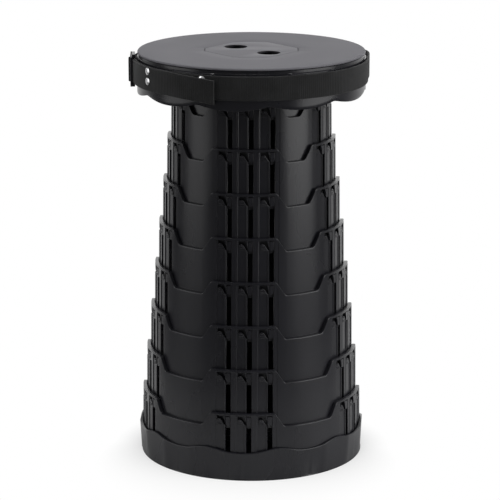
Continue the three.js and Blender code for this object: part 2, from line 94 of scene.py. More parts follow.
# %% [markdown]
# ## Measures from the frame
#
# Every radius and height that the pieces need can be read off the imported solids, so that
# nothing has to be typed twice. The solids are many-sided and have a corner straight in
# front, so a node's reach towards the front is its true radius. A ring also carries lugs
# that stick out near its foot, so its radius is taken at its top edge instead.

# %% Measures
MM = 0.001
RING_COUNT = 8
GROUP_COUNT = 5
GROUP_TURN = 2 * math.pi / GROUP_COUNT
TOP_BAND = 0.1


def span_mm(node):
    low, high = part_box(node)
    return [v / MM for v in low], [v / MM for v in high]


def front_radius(node):
    return -span_mm(node)[0][1]


def top_radius(node):
    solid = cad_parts[node]
    points = [solid.matrix_world @ vertex.co for vertex in solid.data.vertices]
    top = max(point.z for point in points)
    return max(math.hypot(p.x, p.y) for p in points if p.z > top - TOP_BAND * MM) / MM


ring_nodes = [f"ring_{k + 1}" for k in range(RING_COUNT)]
ring_radius = [top_radius(name) for name in ring_nodes]
ring_low = [span_mm(name)[0][2] for name in ring_nodes]
ring_high = [span_mm(name)[1][2] for name in ring_nodes]
RING_STEP = ring_radius[0] - ring_radius[1]
print("ring tops:", [round(r, 1) for r in ring_radius], "step", round(RING_STEP, 2))

# %% [markdown]
# ## Noise and bump for the finishes
#
# Almost everything here is moulded plastic. Moulded plastic isn't one flat colour: the
# mould leaves a fine grain, the melt leaves slow streaks and patches of gloss, and hands
# polish the high spots. Painted pictures could show that, but noise can be made at any
# size and has no seams. So these helpers make a noise in the object's own space, spread
# it between two numbers or two colours, and turn it into bump.

# %% Node helpers
NOISE_LOW, NOISE_HIGH = 0.3, 0.7


def new_material(name):
    material = bpy.data.materials.new(name)
    material.use_nodes = True
    tree = material.node_tree
    shader = tree.nodes["Principled BSDF"]
    return material, tree, shader


def maths(tree, operation, first, second):
    """A Math node fed by sockets or plain numbers."""
    node = tree.nodes.new("ShaderNodeMath")
    node.operation = operation
    for socket, value in zip(node.inputs, (first, second)):
        if isinstance(value, float):
            socket.default_value = value
        else:
            tree.links.new(value, socket)
    return node.outputs["Value"]


def object_noise(tree, scale, detail, stretch=None):
    place = tree.nodes.new("ShaderNodeTexCoord")
    noise = tree.nodes.new("ShaderNodeTexNoise")
    noise.inputs["Scale"].default_value = scale
    noise.inputs["Detail"].default_value = detail
    source = place.outputs["Object"]
    if stretch:
        mapping = tree.nodes.new("ShaderNodeMapping")
        mapping.inputs["Scale"].default_value = stretch
        tree.links.new(source, mapping.inputs["Vector"])
        source = mapping.outputs["Vector"]
    tree.links.new(source, noise.inputs["Vector"])
    return noise.outputs["Fac"]


def spread(tree, value, low, high):
    remap = tree.nodes.new("ShaderNodeMapRange")
    remap.inputs["From Min"].default_value = NOISE_LOW
    remap.inputs["From Max"].default_value = NOISE_HIGH
    remap.inputs["To Min"].default_value = low
    remap.inputs["To Max"].default_value = high
    tree.links.new(value, remap.inputs["Value"])
    return remap.outputs["Result"]


def two_tone(tree, value, dark, light):
    ramp = tree.nodes.new("ShaderNodeValToRGB")
    ramp.color_ramp.elements[0].position = NOISE_LOW
    ramp.color_ramp.elements[0].color = (*dark, 1.0)
    ramp.color_ramp.elements[1].position = NOISE_HIGH
    ramp.color_ramp.elements[1].color = (*light, 1.0)
    tree.links.new(value, ramp.inputs["Fac"])
    return ramp.outputs["Color"]


def grain_bump(tree, value, strength, distance):
    bump = tree.nodes.new("ShaderNodeBump")
    bump.inputs["Strength"].default_value = strength
    bump.inputs["Distance"].default_value = distance
    tree.links.new(value, bump.inputs["Height"])
    return bump.outputs["Normal"]


# %% [markdown]
# ## Plastics and rubber
#
# One recipe makes the black column, the two greys of the seat and the rubber feet. Slow
# patches, drawn out upwards as the melt ran, steer colour and roughness together. The
# grain is bump, because it is far smaller than any face of the mesh. Each finish then
# says only how dark, how rough, how fine and how glossy it is.

# %% Plastics and rubber
PATCH_SCALE, PATCH_DETAIL = 14.0, 4.0
PATCH_STRETCH = (1.0, 1.0, 0.35)
GRAIN_DETAIL, GRAIN_STRENGTH = 2.0, 0.35


def moulded_plastic(name, dark, light, roughness, grain_scale, grain_depth, gloss):
    material, tree, shader = new_material(name)
    patches = object_noise(tree, PATCH_SCALE, PATCH_DETAIL, PATCH_STRETCH)
    tree.links.new(two_tone(tree, patches, dark, light), shader.inputs["Base Color"])
    tree.links.new(spread(tree, patches, *roughness), shader.inputs["Roughness"])
    grain = object_noise(tree, grain_scale, GRAIN_DETAIL)
    tree.links.new(grain_bump(tree, grain, GRAIN_STRENGTH, grain_depth), shader.inputs["Normal"])
    shader.inputs["Specular IOR Level"].default_value = gloss
    return material


black_plastic = moulded_plastic(
    "black_moulded_plastic", (0.0096, 0.0096, 0.0124), (0.0130, 0.0130, 0.0164),
    roughness=(0.25, 0.32), grain_scale=1500.0, grain_depth=0.00005, gloss=0.38,
)
lid_plastic = moulded_plastic(
    "grey_lid_plastic", (0.132, 0.130, 0.143), (0.147, 0.145, 0.158),
    roughness=(0.56, 0.66), grain_scale=900.0, grain_depth=0.00008, gloss=0.15,
)
panel_plastic = moulded_plastic(
    "grey_panel_plastic", (0.138, 0.136, 0.149), (0.152, 0.150, 0.163),
    roughness=(0.52, 0.6), grain_scale=1100.0, grain_depth=0.00005, gloss=0.15,
)
foot_rubber = moulded_plastic(
    "foot_rubber", (0.016, 0.016, 0.016), (0.024, 0.024, 0.024),
    roughness=(0.75, 0.9), grain_scale=2400.0, grain_depth=0.00008, gloss=0.3,
)
print("finishes:", ", ".join(m.name for m in (black_plastic, lid_plastic, panel_plastic, foot_rubber)))

# %% [markdown]
# ## From points to a piece
#
# A mesh can be modelled by hand, but this stool repeats itself so exactly that loops do
# it better: they work out points and faces in millimetres, and one helper turns them
# into a piece. It welds points that coincide, drops slivers, turns all faces outwards
# and shades smoothly, with true corners kept sharp. A second helper rounds the edges of
# a finished piece, as no mould leaves a knife edge.

# %% Pieces from points
WELD_WITHIN = 0.002
SLIVER = 0.001
SHARP_FROM = 32.0
SOFT_STEPS = 2
SOFT_FROM = 50.0


def in_metres(points):
    return [tuple(v * MM for v in point) for point in points]


def mesh_piece(name, points, faces, material, sharp=SHARP_FROM):
    mesh = bpy.data.meshes.new(name)
    mesh.from_pydata(in_metres(points), [], faces)
    clean = bmesh.new()
    clean.from_mesh(mesh)
    bmesh.ops.remove_doubles(clean, verts=clean.verts, dist=WELD_WITHIN * MM)
    bmesh.ops.dissolve_degenerate(clean, edges=clean.edges, dist=SLIVER * MM)
    bmesh.ops.recalc_face_normals(clean, faces=clean.faces)
    clean.to_mesh(mesh)
    clean.free()
    mesh.shade_smooth()
    mesh.set_sharp_from_angle(angle=math.radians(sharp))
    mesh.materials.append(material)
    piece = bpy.data.objects.new(name, mesh)
    bpy.context.collection.objects.link(piece)
    return piece


def soften(piece, width):
    bevel = piece.modifiers.new("soft_edges", "BEVEL")
    bevel.width = width * MM
    bevel.segments = SOFT_STEPS
    bevel.limit_method = "ANGLE"
    bevel.angle_limit = math.radians(SOFT_FROM)
    bevel.use_clamp_overlap = False
    shade = piece.modifiers.new("even_shading", "WEIGHTED_NORMAL")
    shade.keep_sharp = True


# %% [markdown]
# ## Shells that sweep round the axis
#
# Rings, cup, tray and lid all go once round the axis, but none is a plain turned shape:
# edges wave, walls have flats and windows. So each is swept by a loop of its own. For
# every direction round the axis a function gives the outline of the wall there, and the
# outlines are joined into faces. Outlines that end on the axis close to a disc.

# %% Swept pieces
def at_angle(radius, angle, height):
    return (radius * math.sin(angle), -radius * math.cos(angle), height)


def even_angles(count):
    return [2 * math.pi * k / count for k in range(count)]


def swept_faces(columns, rows, closed):
    faces = []
    for i in range(columns):
        k = (i + 1) % columns
        for j in range(rows if closed else rows - 1):
            n = (j + 1) % rows
            faces.append((i * rows + j, k * rows + j, k * rows + n, i * rows + n))
    return faces


def swept_points(angles, outline_at):
    outlines = [outline_at(angle) for angle in angles]
    points = [at_angle(r, a, z) for a, outline in zip(angles, outlines) for r, z in outline]
    return points, len(outlines[0])


def swept_piece(name, angles, outline_at, material, closed=True):
    points, rows = swept_points(angles, outline_at)
    faces = swept_faces(len(angles), rows, closed)
    return mesh_piece(name, points, faces, material)


# %% [markdown]
# ## The ring wall as a grid with windows
#
# A ring's outside has flat-bottomed leaves, strips, three slots and three locking pockets
# in each of its five groups, and a top edge that steps down between the groups. All of
# these are lines at a fixed sideways distance from the group's middle, because the mould
# opens straight outwards there. So the wall is laid out as a grid: columns at those
# lines, rows at the heights of the slots and pockets. Cells inside a slot or a pocket
# are left open and their sides closed with faces. Cutting with booleans would also work,
# but a grid keeps every edge exactly where the mould put it.

# %% Ring layout
SLOT_COUNT = 3
SLOT_WIDTH = 5.4
SLOT_SPACING = 22.5
FIRST_SLOT = -15.6
SLOT_LEFTS = [FIRST_SLOT - SLOT_WIDTH / 2 + k * SLOT_SPACING for k in range(SLOT_COUNT)]
SLOT_FOOT = 60.0
LEAF_REACH = 10.8
LEAF_TOP = 3.2
LEAF_DEPTH = 0.8
LEAF_BEVEL = 0.3
BEAD_WIDTH = 1.2
BEAD_PROUD = 0.15
STRIP_DEPTH = 0.25
STRIP_WIDTH = 4.4
POCKET_REACH = 9.4
POCKET_TOP_REACH = 1.9
POCKET_FOOT = 13.0
PLATEAU_HALF = 35.0
PLATEAU_FOOT = 44.5
CORNER_EASE = 0.16
NOTCH_DEPTH = 15.0
NOTCH_STEPS = 12
WIDEST_STEP = math.radians(3.0)
RING_HEIGHT = ring_high[0] - ring_low[0]
RING_WALL = 2.2
RING_DRAFT = 0.7
RUNNING_GAP = 0.35
RIM_ROUND = 0.7
RIM_SHARE = 0.3
LIP_DEPTH = 1.2
LIP_HEIGHT = 2.5
PLAIN_DEPTHS = [24.0, 36.0, 48.0]

# How deep each row of the grid lies below the ring's top edge. The plain rows only keep
# the faces from getting too long.
ROW_DEPTHS = [0.0, RIM_SHARE * RIM_ROUND, RIM_ROUND, LIP_DEPTH, LIP_HEIGHT, LEAF_TOP, POCKET_FOOT]
ROW_DEPTHS += [*PLAIN_DEPTHS, SLOT_FOOT, RING_HEIGHT]
ROW_LIP = ROW_DEPTHS.index(LIP_DEPTH)
ROW_BAND = ROW_DEPTHS.index(LIP_HEIGHT)
ROW_LEAF = ROW_DEPTHS.index(LEAF_TOP)
ROW_SLOT_FOOT = ROW_DEPTHS.index(SLOT_FOOT)
ROW_TOP, ROW_ROUND = 0, 1
ROW_INSETS = {ROW_TOP: RIM_ROUND, ROW_ROUND: RIM_SHARE * RIM_ROUND}


def eased(share, ease):
    """A straight rise from 0 to 1 with both corners rounded off."""
    if share <= -ease or share >= 1 + ease:
        return min(max(share, 0.0), 1.0)
    if share < ease:
        return (share + ease) ** 2 / (4 * ease)
    if share > 1 - ease:
        return 1 - (1 + ease - share) ** 2 / (4 * ease)
    return share


def edge_drop(sideways):
    """How far the top edge lies below the plateau at a distance from the group's middle."""
    share = (abs(sideways) - PLATEAU_HALF) / (PLATEAU_FOOT - PLATEAU_HALF)
    return NOTCH_DEPTH * eased(share, CORNER_EASE)


def group_offset(angle):
    return (angle + GROUP_TURN / 2) % GROUP_TURN - GROUP_TURN / 2


def feature_lines():
    lines = []
    for left in SLOT_LEFTS:
        lines += [left - LEAF_REACH - LEAF_BEVEL, left - LEAF_REACH]
        lines += [left - BEAD_WIDTH - LEAF_BEVEL, left - BEAD_WIDTH, left]
        lines += [left - POCKET_REACH, left - POCKET_TOP_REACH, left + SLOT_WIDTH]
        lines += [left + SLOT_WIDTH + STRIP_WIDTH, left + SLOT_WIDTH + STRIP_WIDTH + LEAF_BEVEL]
    for k in range(NOTCH_STEPS + 1):
        share = -CORNER_EASE + (1 + 2 * CORNER_EASE) * k / NOTCH_STEPS
        drop = PLATEAU_HALF + (PLATEAU_FOOT - PLATEAU_HALF) * share
        lines += [drop, -drop]
    return lines


def ring_angles(radius):
    inside = sorted(math.asin(line / radius) for line in feature_lines())
    edges = [-GROUP_TURN / 2] + inside + [GROUP_TURN / 2]
    angles = []
    for left, right in zip(edges, edges[1:]):
        steps = max(1, math.ceil((right - left) / WIDEST_STEP))
        angles += [left + (right - left) * s / steps for s in range(steps)]
    return [angle + g * GROUP_TURN for g in range(GROUP_COUNT) for angle in angles]


print("grid:", len(feature_lines()), "lines in a group,", len(ROW_DEPTHS), "rows")

# %% [markdown]
# ## The ring wall
#
# The wall is drafted: each ring is a little wider at its foot, so that it comes off the
# mould. Three helpers say how high each row lies in a column, how far the face stands in
# or out there, and which cells are open. Rows above the lip's foot follow the top edge
# down into the notches, and the rows under them close up to make room.

# %% Ring wall
SQUEEZED_ROW = 0.5
ON_LINE = 0.01


def row_heights(sideways):
    drop = edge_drop(sideways)
    heights = []
    for row, depth in enumerate(ROW_DEPTHS):
        if row <= ROW_BAND:
            heights.append(-depth - drop)
        else:
            heights.append(min(-depth, heights[-1] - (SQUEEZED_ROW if drop > 0 else 0.0)))
    return heights


def face_relief(sideways, row):
    """How far the face stands in or out: sunk leaves, a bead at each slot, shallow strips."""
    if row <= ROW_BAND:
        return 0.0
    for left in SLOT_LEFTS:
        bead, right = left - BEAD_WIDTH, left + SLOT_WIDTH
        if left - LEAF_REACH - ON_LINE <= sideways <= bead - LEAF_BEVEL + ON_LINE:
            return -LEAF_DEPTH
        if bead - ON_LINE <= sideways <= left + ON_LINE:
            return BEAD_PROUD
        if right - ON_LINE <= sideways <= right + STRIP_WIDTH + ON_LINE:
            return -STRIP_DEPTH
    return 0.0


def cell_is_open(sideways, row):
    for left in SLOT_LEFTS:
        if left < sideways < left + SLOT_WIDTH and ROW_BAND <= row < ROW_SLOT_FOOT:
            return True
        if left - POCKET_REACH < sideways < left - POCKET_TOP_REACH and row == ROW_BAND:
            return True
        if left - POCKET_REACH < sideways < left and row == ROW_LEAF:
            return True
    return False


def wall_points(angles, radius, top, lip_inner):
    points = []
    for angle in angles:
        sideways = radius * math.sin(group_offset(angle))
        heights = row_heights(sideways)
        outer, inner = [], []
        for row, height in enumerate(heights):
            face = radius - RING_DRAFT * height / RING_HEIGHT
            relief = face_relief(sideways, row) - ROW_INSETS.get(row, 0.0)
            outer.append(at_angle(face + relief, angle, top + height))
            back = lip_inner if row <= ROW_LIP else face - RING_WALL
            inner.append(at_angle(back, angle, top + height))
        points += outer + inner
    return points


def wall_faces(angles, radius):
    count, rows = len(angles), len(ROW_DEPTHS)
    open_cells = set()
    for i in range(count):
        after = angles[i + 1] if i + 1 < count else angles[0] + 2 * math.pi
        sideways = radius * math.sin(group_offset((angles[i] + after) / 2))
        open_cells |= {(i, j) for j in range(rows - 1) if cell_is_open(sideways, j)}

    def outer(i, j):
        return (i % count) * 2 * rows + j

    def inner(i, j):
        return outer(i, j) + rows

    faces = []
    for i in range(count):
        for j in range(rows - 1):
            if (i, j) in open_cells:
                continue
            faces.append((outer(i, j), outer(i, j + 1), outer(i + 1, j + 1), outer(i + 1, j)))
            faces.append((inner(i, j), inner(i + 1, j), inner(i + 1, j + 1), inner(i, j + 1)))
            if j == 0 or (i, j - 1) in open_cells:
                faces.append((outer(i, j), outer(i + 1, j), inner(i + 1, j), inner(i, j)))
            if j == rows - 2 or (i, j + 1) in open_cells:
                faces.append((outer(i + 1, j + 1), outer(i, j + 1), inner(i, j + 1), inner(i + 1, j + 1)))
            if ((i - 1) % count, j) in open_cells:
                faces.append((outer(i, j), inner(i, j), inner(i, j + 1), outer(i, j + 1)))
            if ((i + 1) % count, j) in open_cells:
                faces.append((outer(i + 1, j), outer(i + 1, j + 1), inner(i + 1, j + 1), inner(i + 1, j)))
    return faces


# %% [markdown]
# ## Lugs and snap tongues
#
# Each ring hangs in the ring around it by fifteen lugs that stand in that ring's slots.
# Beside each slot a snap tongue fills the lower left of the locking pocket, and the wall
# comes back in a round corner at the pocket's upper right. What stays open between tongue
# and corner is a dark hook that bends down into the slot. All are little blocks whose
# sides run parallel to the group's middle line and whose faces follow the ring, so one
# helper bends a flat outline onto the wall for each. Outlines are given as places to the
# right of a slot's left edge and heights over a ring's top edge, and only the lug's root
# and shank count their heights from their own ring's foot.

# %% Blocks on the wall
LUG_GAP = 0.35
LUG_ROOT_LOW, LUG_ROOT_HIGH = 0.4, 4.0
LUG_SHANK_LOW, LUG_SHANK_HIGH = 3.7, 14.0
LUG_HEAD = [(5.05, -12.9), (5.05, -3.5), (0.45, -3.5), (0.45, -12.9)]
HEAD_LAP, HEAD_BACKSET = 0.3, 0.35
TONGUE = [(-9.6, -13.4), (-0.3, -13.4), (-1.4, -12.4), (-2.6, -10.8), (-3.7, -8.8), (-4.8, -7.1)]
TONGUE += [(-5.8, -6.3), (-6.9, -6.1), (-7.9, -6.4), (-8.8, -7.2), (-9.6, -8.1)]
TONGUE_BACKSET = 0.5
TONGUE_THICKNESS = 1.5
TONGUE_GRIPS = [(-8.6, -3.6, -12.4, -11.8), (-8.6, -3.9, -10.9, -10.3), (-7.9, -5.6, -8.6, -7.6)]
GRIP_RISE, GRIP_SINK = 0.45, 0.2
POCKET_CORNER = [(0.1, -11.4), (0.1, -3.1), (-2.6, -3.1), (-1.9, -4.1)]
POCKET_CORNER += [(-1.2, -5.8), (-0.7, -7.7), (-0.3, -9.6)]
CORNER_LAP, CORNER_PROUD = 0.1, 0.02


def bent_block(outline, near, far, group):
    """A closed block from an outline of (sideways, height) points, between two radii."""
    points = []
    for radius in (far, near):
        for sideways, height in outline:
            angle = math.asin(sideways / radius) + group * GROUP_TURN
            points.append(at_angle(radius, angle, height))
    count = len(outline)
    faces = [tuple(range(count)), tuple(range(2 * count - 1, count - 1, -1))]
    faces += [(k, k + count, (k + 1) % count + count, (k + 1) % count) for k in range(count)]
    return points, faces


def append_block(points, faces, block):
    offset = len(points)
    points += block[0]
    faces += [tuple(v + offset for v in face) for face in block[1]]


def rectangle(left, right, low, high):
    return [(left, low), (right, low), (right, high), (left, high)]


def shifted(outline, sideways, height):
    return [(sideways + x, height + z) for x, z in outline]


def add_lugs(points, faces, radius, around, foot, around_top):
    """Lugs of the ring of this radius, in the slots of the ring around it."""
    outer_face = around - RING_WALL - RUNNING_GAP
    parts = [
        (radius - RING_WALL / 2, outer_face, LUG_ROOT_LOW, LUG_ROOT_HIGH),
        (radius + RING_DRAFT + RUNNING_GAP, outer_face, LUG_SHANK_LOW, LUG_SHANK_HIGH),
    ]
    for group in range(GROUP_COUNT):
        for left in SLOT_LEFTS:
            for near, far, low, high in parts:
                outline = rectangle(left + LUG_GAP, left + SLOT_WIDTH - LUG_GAP, foot + low, foot + high)
                append_block(points, faces, bent_block(outline, near, far, group))
            head = shifted(LUG_HEAD, left, around_top)
            append_block(points, faces, bent_block(head, outer_face - HEAD_LAP, around - HEAD_BACKSET, group))


def add_tongues(points, faces, radius, top):
    face = radius - TONGUE_BACKSET
    corner_back = radius - RING_WALL + CORNER_LAP
    for group in range(GROUP_COUNT):
        for left in SLOT_LEFTS:
            tongue = shifted(TONGUE, left, top)
            append_block(points, faces, bent_block(tongue, face - TONGUE_THICKNESS, face, group))
            corner = shifted(POCKET_CORNER, left, top)
            append_block(points, faces, bent_block(corner, corner_back, radius + CORNER_PROUD, group))
            for grip in TONGUE_GRIPS:
                outline = shifted(rectangle(*grip), left, top)
                append_block(points, faces, bent_block(outline, face - GRIP_SINK, face + GRIP_RISE, group))


# %% [markdown]
# ## The eight column rings
#
# All eight come from one mould family: same height, same slots, each one step narrower
# than the last. So one function makes them from the radius and height that the packed
# solid gives, and only the lowest ring, which is fixed in the base, has no lugs.

# %% Column rings
RING_SOFTNESS = 0.28


def make_ring(index):
    name = ring_nodes[index]
    radius = ring_radius[index]
    top = ring_high[index]
    lip_inner = radius - RING_STEP + RING_DRAFT + RUNNING_GAP
    angles = ring_angles(radius)
    points = wall_points(angles, radius, top, lip_inner)
    faces = wall_faces(angles, radius)
    if index > 0:
        add_lugs(points, faces, radius, radius + RING_STEP, ring_low[index], ring_high[index - 1])
    add_tongues(points, faces, radius, top)
    ring = mesh_piece(f"column_{name}", points, faces, black_plastic)
    soften(ring, RING_SOFTNESS)
    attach(ring, "base" if index == 0 else name)
    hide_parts(name)
    return ring


column_rings = [make_ring(index) for index in range(RING_COUNT)]
print("column rings:", len(column_rings), "with", len(column_rings[0].data.vertices), "points in the lowest")

# %% [markdown]
# ## The neck ring
#
# The last ring is hidden under the seat: a plain drafted wall with lugs at its foot and
# an inner flange at its top, which five screws hold to the seat tray. It shows as a dark
# band between the seat and the highest ring.

# %% Neck ring
NECK_FLANGE = 12.0
NECK_FLANGE_THICKNESS = 2.7
NECK_SOFTNESS = 0.3
NECK_COLUMNS = 120


def make_neck_ring():
    low, high = span_mm("neck_ring")[0][2], span_mm("neck_ring")[1][2]
    radius = ring_radius[-1] - RING_STEP
    foot, inner = radius + RING_DRAFT, radius - RING_WALL
    flange, under = inner - NECK_FLANGE, high - NECK_FLANGE_THICKNESS
    wall = [(foot - RING_WALL, low), (foot, low), (radius, high)]
    wall += [(flange, high), (flange, under), (inner, under)]
    points, rows = swept_points(even_angles(NECK_COLUMNS), lambda angle: wall)
    faces = swept_faces(NECK_COLUMNS, rows, True)
    add_lugs(points, faces, radius, radius + RING_STEP, low, ring_high[-1])
    ring = mesh_piece("seat_neck_ring", points, faces, black_plastic)
    soften(ring, NECK_SOFTNESS)
    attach(ring, "seat")
    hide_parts("neck_ring")
    return ring


neck_ring = make_neck_ring()
print("neck ring is", round(neck_ring.dimensions.z / MM, 1), "mm high")

# %% [markdown]
# ## The base cup
#
# The base is a shallow tray. Its top edge waves: it dips in front of each slot group and
# again midway between two groups, and rises on both sides of each dip. The wall isn't
# quite round: it has twenty almost flat sides, which meet in faint upright edges. A few
# heights, given as shares, are enough for a wave, with a smooth curve through them. The
# seat tray's lower edge uses the same helper.

# %% Waves, ribs and hubs
HUB_SIDES = 48


def wave(angle, shares, lobes):
    """A smooth curve through shares, from the middle of a lobe to its end and back."""
    span = math.pi / lobes
    place = abs((angle + span) % (2 * span) - span) / span * (len(shares) - 1)
    lower = min(int(place), len(shares) - 2)
    t = place - lower
    before = shares[max(lower - 1, 0)] if lower > 0 else shares[1]
    after = shares[min(lower + 2, len(shares) - 1)]
    here, there = shares[lower], shares[lower + 1]
    slope_here, slope_there = (there - before) / 2, (after - here) / 2
    curve = (2 * t**3 - 3 * t**2 + 1) * here + (t**3 - 2 * t**2 + t) * slope_here
    return curve + (3 * t**2 - 2 * t**3) * there + (t**3 - t**2) * slope_there


def rib_block(near, far, half, low, high, angle):
    corners = []
    cos, sin = math.cos(angle), math.sin(angle)
    for z in (low, high):
        for x, y in ((-half, -far), (half, -far), (half, -near), (-half, -near)):
            corners.append((x * cos - y * sin, x * sin + y * cos, z))
    faces = [(3, 2, 1, 0), (4, 5, 6, 7), (0, 1, 5, 4), (1, 2, 6, 5), (2, 3, 7, 6), (3, 0, 4, 7)]
    return corners, faces


def hub_block(radius, low, high):
    corners = [at_angle(radius, a, z) for z in (low, high) for a in even_angles(HUB_SIDES)]
    faces = [tuple(range(HUB_SIDES - 1, -1, -1)), tuple(range(HUB_SIDES, 2 * HUB_SIDES))]
    for k in range(HUB_SIDES):
        after = (k + 1) % HUB_SIDES
        faces.append((k, after, after + HUB_SIDES, k + HUB_SIDES))
    return corners, faces


# %% Base cup
BASE_COLUMNS = 240
BASE_EDGE_SHARES = [0, 0.15, 0.6, 1, 0.7, 0.2, 0.05]
BASE_EDGE_LOW = 31.0
BASE_EDGE_WAVE = 5.4
BASE_WALL = 3.2
BASE_FLOOR = 3.0
BASE_FLARE = 1.6
BASE_HEEL = 1.6
BASE_SHARP = 24.0
SIDE_COUNT = 20
SIDE_TURN = 2 * math.pi / SIDE_COUNT
SIDE_DEPTH = 1.2
SIDE_FOOT_SHARE = 0.9
HEEL_SHARE, HEEL_RISE, HEEL_INSET = 0.4, 0.25, 0.1
RIB_COUNT = 10
RIB_HEIGHT = 7.0
RIB_HALF = 1.2
RIB_START, HUB_RADIUS = 11.0, 11.2
RIB_SINK = 0.5

# Roundings of the edge, as steps in from the wall and down from the edge.
BASE_OUTER_ROUND = [(0.0, 0.6), (0.25, 0.12), (0.8, 0.0)]
BASE_INNER_ROUND = [(0.3, 0.0), (0.0, 0.4)]


def side_share(angle):
    """How far a side's middle has moved in from the circle: 1 there, 0 at its edges."""
    off = (angle + SIDE_TURN / 2) % SIDE_TURN - SIDE_TURN / 2
    return 1 - (2 * off / SIDE_TURN) ** 2


def make_base_cup():
    outer_top = front_radius("base_cup")
    outer_foot = outer_top - BASE_FLARE
    inner = outer_top - BASE_WALL

    def outline(angle):
        edge = BASE_EDGE_LOW + BASE_EDGE_WAVE * wave(angle, BASE_EDGE_SHARES, GROUP_COUNT)
        flat = SIDE_DEPTH * side_share(angle)
        points = [(0.0, 0.0), (outer_foot / 2, 0.0), (outer_foot - BASE_HEEL, 0.0)]
        points += [(outer_foot - BASE_HEEL * HEEL_SHARE, HEEL_RISE)]
        points += [(outer_foot - HEEL_INSET - flat * SIDE_FOOT_SHARE, BASE_HEEL)]
        points += [(outer_top - flat - step, edge - down) for step, down in BASE_OUTER_ROUND]
        points += [(inner + step, edge - down) for step, down in BASE_INNER_ROUND]
        return points + [(inner, BASE_FLOOR), (inner / 2, BASE_FLOOR), (0.0, BASE_FLOOR)]

    points, rows = swept_points(even_angles(BASE_COLUMNS), outline)
    faces = swept_faces(BASE_COLUMNS, rows, False)
    low, high = BASE_FLOOR - RIB_SINK, BASE_FLOOR + RIB_HEIGHT
    for k in range(RIB_COUNT):
        angle = (k + 0.5) * 2 * math.pi / RIB_COUNT
        append_block(points, faces, rib_block(RIB_START, inner + RIB_SINK, RIB_HALF, low, high, angle))
    append_block(points, faces, hub_block(HUB_RADIUS, low, high))
    cup = mesh_piece("base_tray_cup", points, faces, black_plastic, BASE_SHARP)
    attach(cup, "base")
    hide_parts("base_cup")
    return cup


base_cup = make_base_cup()
print("base cup is", round(base_cup.dimensions.x / MM, 1), "mm across")

# %% [markdown]
# ## Foot pads
#
# Five rubber discs sit in the underside so that the stool doesn't slip. Each has a
# shallow dish and a groove, as pressed rubber feet do. A foot is a small turned shape, so
# it is swept round its own middle and then moved to its place.

# %% Foot pads
PAD_COUNT = 5
PAD_COLUMNS = 48
PAD_ROUND, PAD_EASE = 0.4, 0.2

# The tread, as shares of the radius and heights over the ground.
PAD_TREAD = [(0.0, 0.5), (0.30, 0.5), (0.34, 0.0), (0.55, 0.0), (0.59, 0.4), (0.65, 0.4), (0.69, 0.0)]


def make_foot_pad(node):
    low, high = span_mm(node)
    centre = ((low[0] + high[0]) / 2, (low[1] + high[1]) / 2)
    radius = (high[0] - low[0]) / 2
    top = high[2]
    profile = [(radius * share, height) for share, height in PAD_TREAD]
    profile += [(radius - PAD_ROUND, 0.0), (radius, PAD_ROUND), (radius, top - PAD_EASE)]
    profile += [(radius - PAD_EASE, top), (0.0, top)]
    points, rows = swept_points(even_angles(PAD_COLUMNS), lambda angle: profile)
    points = [(x + centre[0], y + centre[1], z) for x, y, z in points]
    pad = mesh_piece(f"rubber_{node}", points, swept_faces(PAD_COLUMNS, rows, False), foot_rubber)
    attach(pad, "base")
    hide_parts(node)
    return pad


foot_pads = [make_foot_pad(f"foot_pad_{k + 1}") for k in range(PAD_COUNT)]
print("foot pads:", len(foot_pads), "of", round(foot_pads[0].dimensions.x / MM, 1), "mm")

# %% [markdown]
# ## The seat tray
#
# The tray is the seat's structure: a flat plate, a deep skirt that closes over the folded
# rings, and a well under the finger holes. The lid sits on the plate, and a narrow
# shoulder shows between the lid and the strap. Six long recesses set the shoulder back, so
# it shows as a dark line there and as a short bright ledge in between. The skirt's lower
# edge has ten lobes. All that can be swept in one outline, whose shoulder steps back
# where a recess is and whose foot rises and falls with the lobes.

# %% Seat tray
TRAY_COLUMNS = 360
TRAY_EDGE_SHARES = [0, 0.12, 0.5, 1]
TRAY_EDGE_LOW = span_mm("seat_tray")[0][2]
TRAY_EDGE_WAVE = 4.8
TRAY_LOBES = 10
TRAY_LOBE_TURN = math.radians(-4.6)
PLATE_CLEARANCE = 0.3
PLATE_THICKNESS = 1.9
PLATE_FLAT = 20.0
PLATE_TOP = span_mm("centre_panel")[0][2] - PLATE_CLEARANCE
PLATE_BOTTOM = PLATE_TOP - PLATE_THICKNESS
RIM_EASE = 0.4
SHOULDER_DROP = 3.1
SHOULDER_TOP = PLATE_TOP - SHOULDER_DROP
SHOULDER_WIDTH = 1.8
SHOULDER_CHAMFER, CHAMFER_SHARE = 0.8, 0.6
RECESS_TURN = math.pi / 3
RECESS_HALF, RECESS_EASE = 40.0, 0.6
RECESS_DEPTH = 1.4
RECESS_DROP = 5.4
SKIRT_WALL = 2.5
SKIRT_STRAIGHT = 4.0
WELL_RADIUS = 43.0
WELL_DEPTH = 22.0
WELL_FLOOR = PLATE_TOP - WELL_DEPTH
WELL_ROUND, WELL_WALL = 1.5, 2.0

# Roundings of the lower edge, as steps in from the wall and up from the edge.
SKIRT_OUTER_ROUND = [(0.0, 0.5), (0.2, 0.1), (0.6, 0.0)]
SKIRT_INNER_ROUND = [(0.4, 0.0), (0.0, 0.4)]


def recess_at(angle, radius):
    """How far the shoulder is set back in a direction from the axis."""
    aside = (angle - VIEW_TURN + RECESS_TURN / 2) % RECESS_TURN - RECESS_TURN / 2
    sideways = radius * math.sin(aside)
    return RECESS_DEPTH * min(max((RECESS_HALF - abs(sideways)) / RECESS_EASE, 0.0), 1.0)


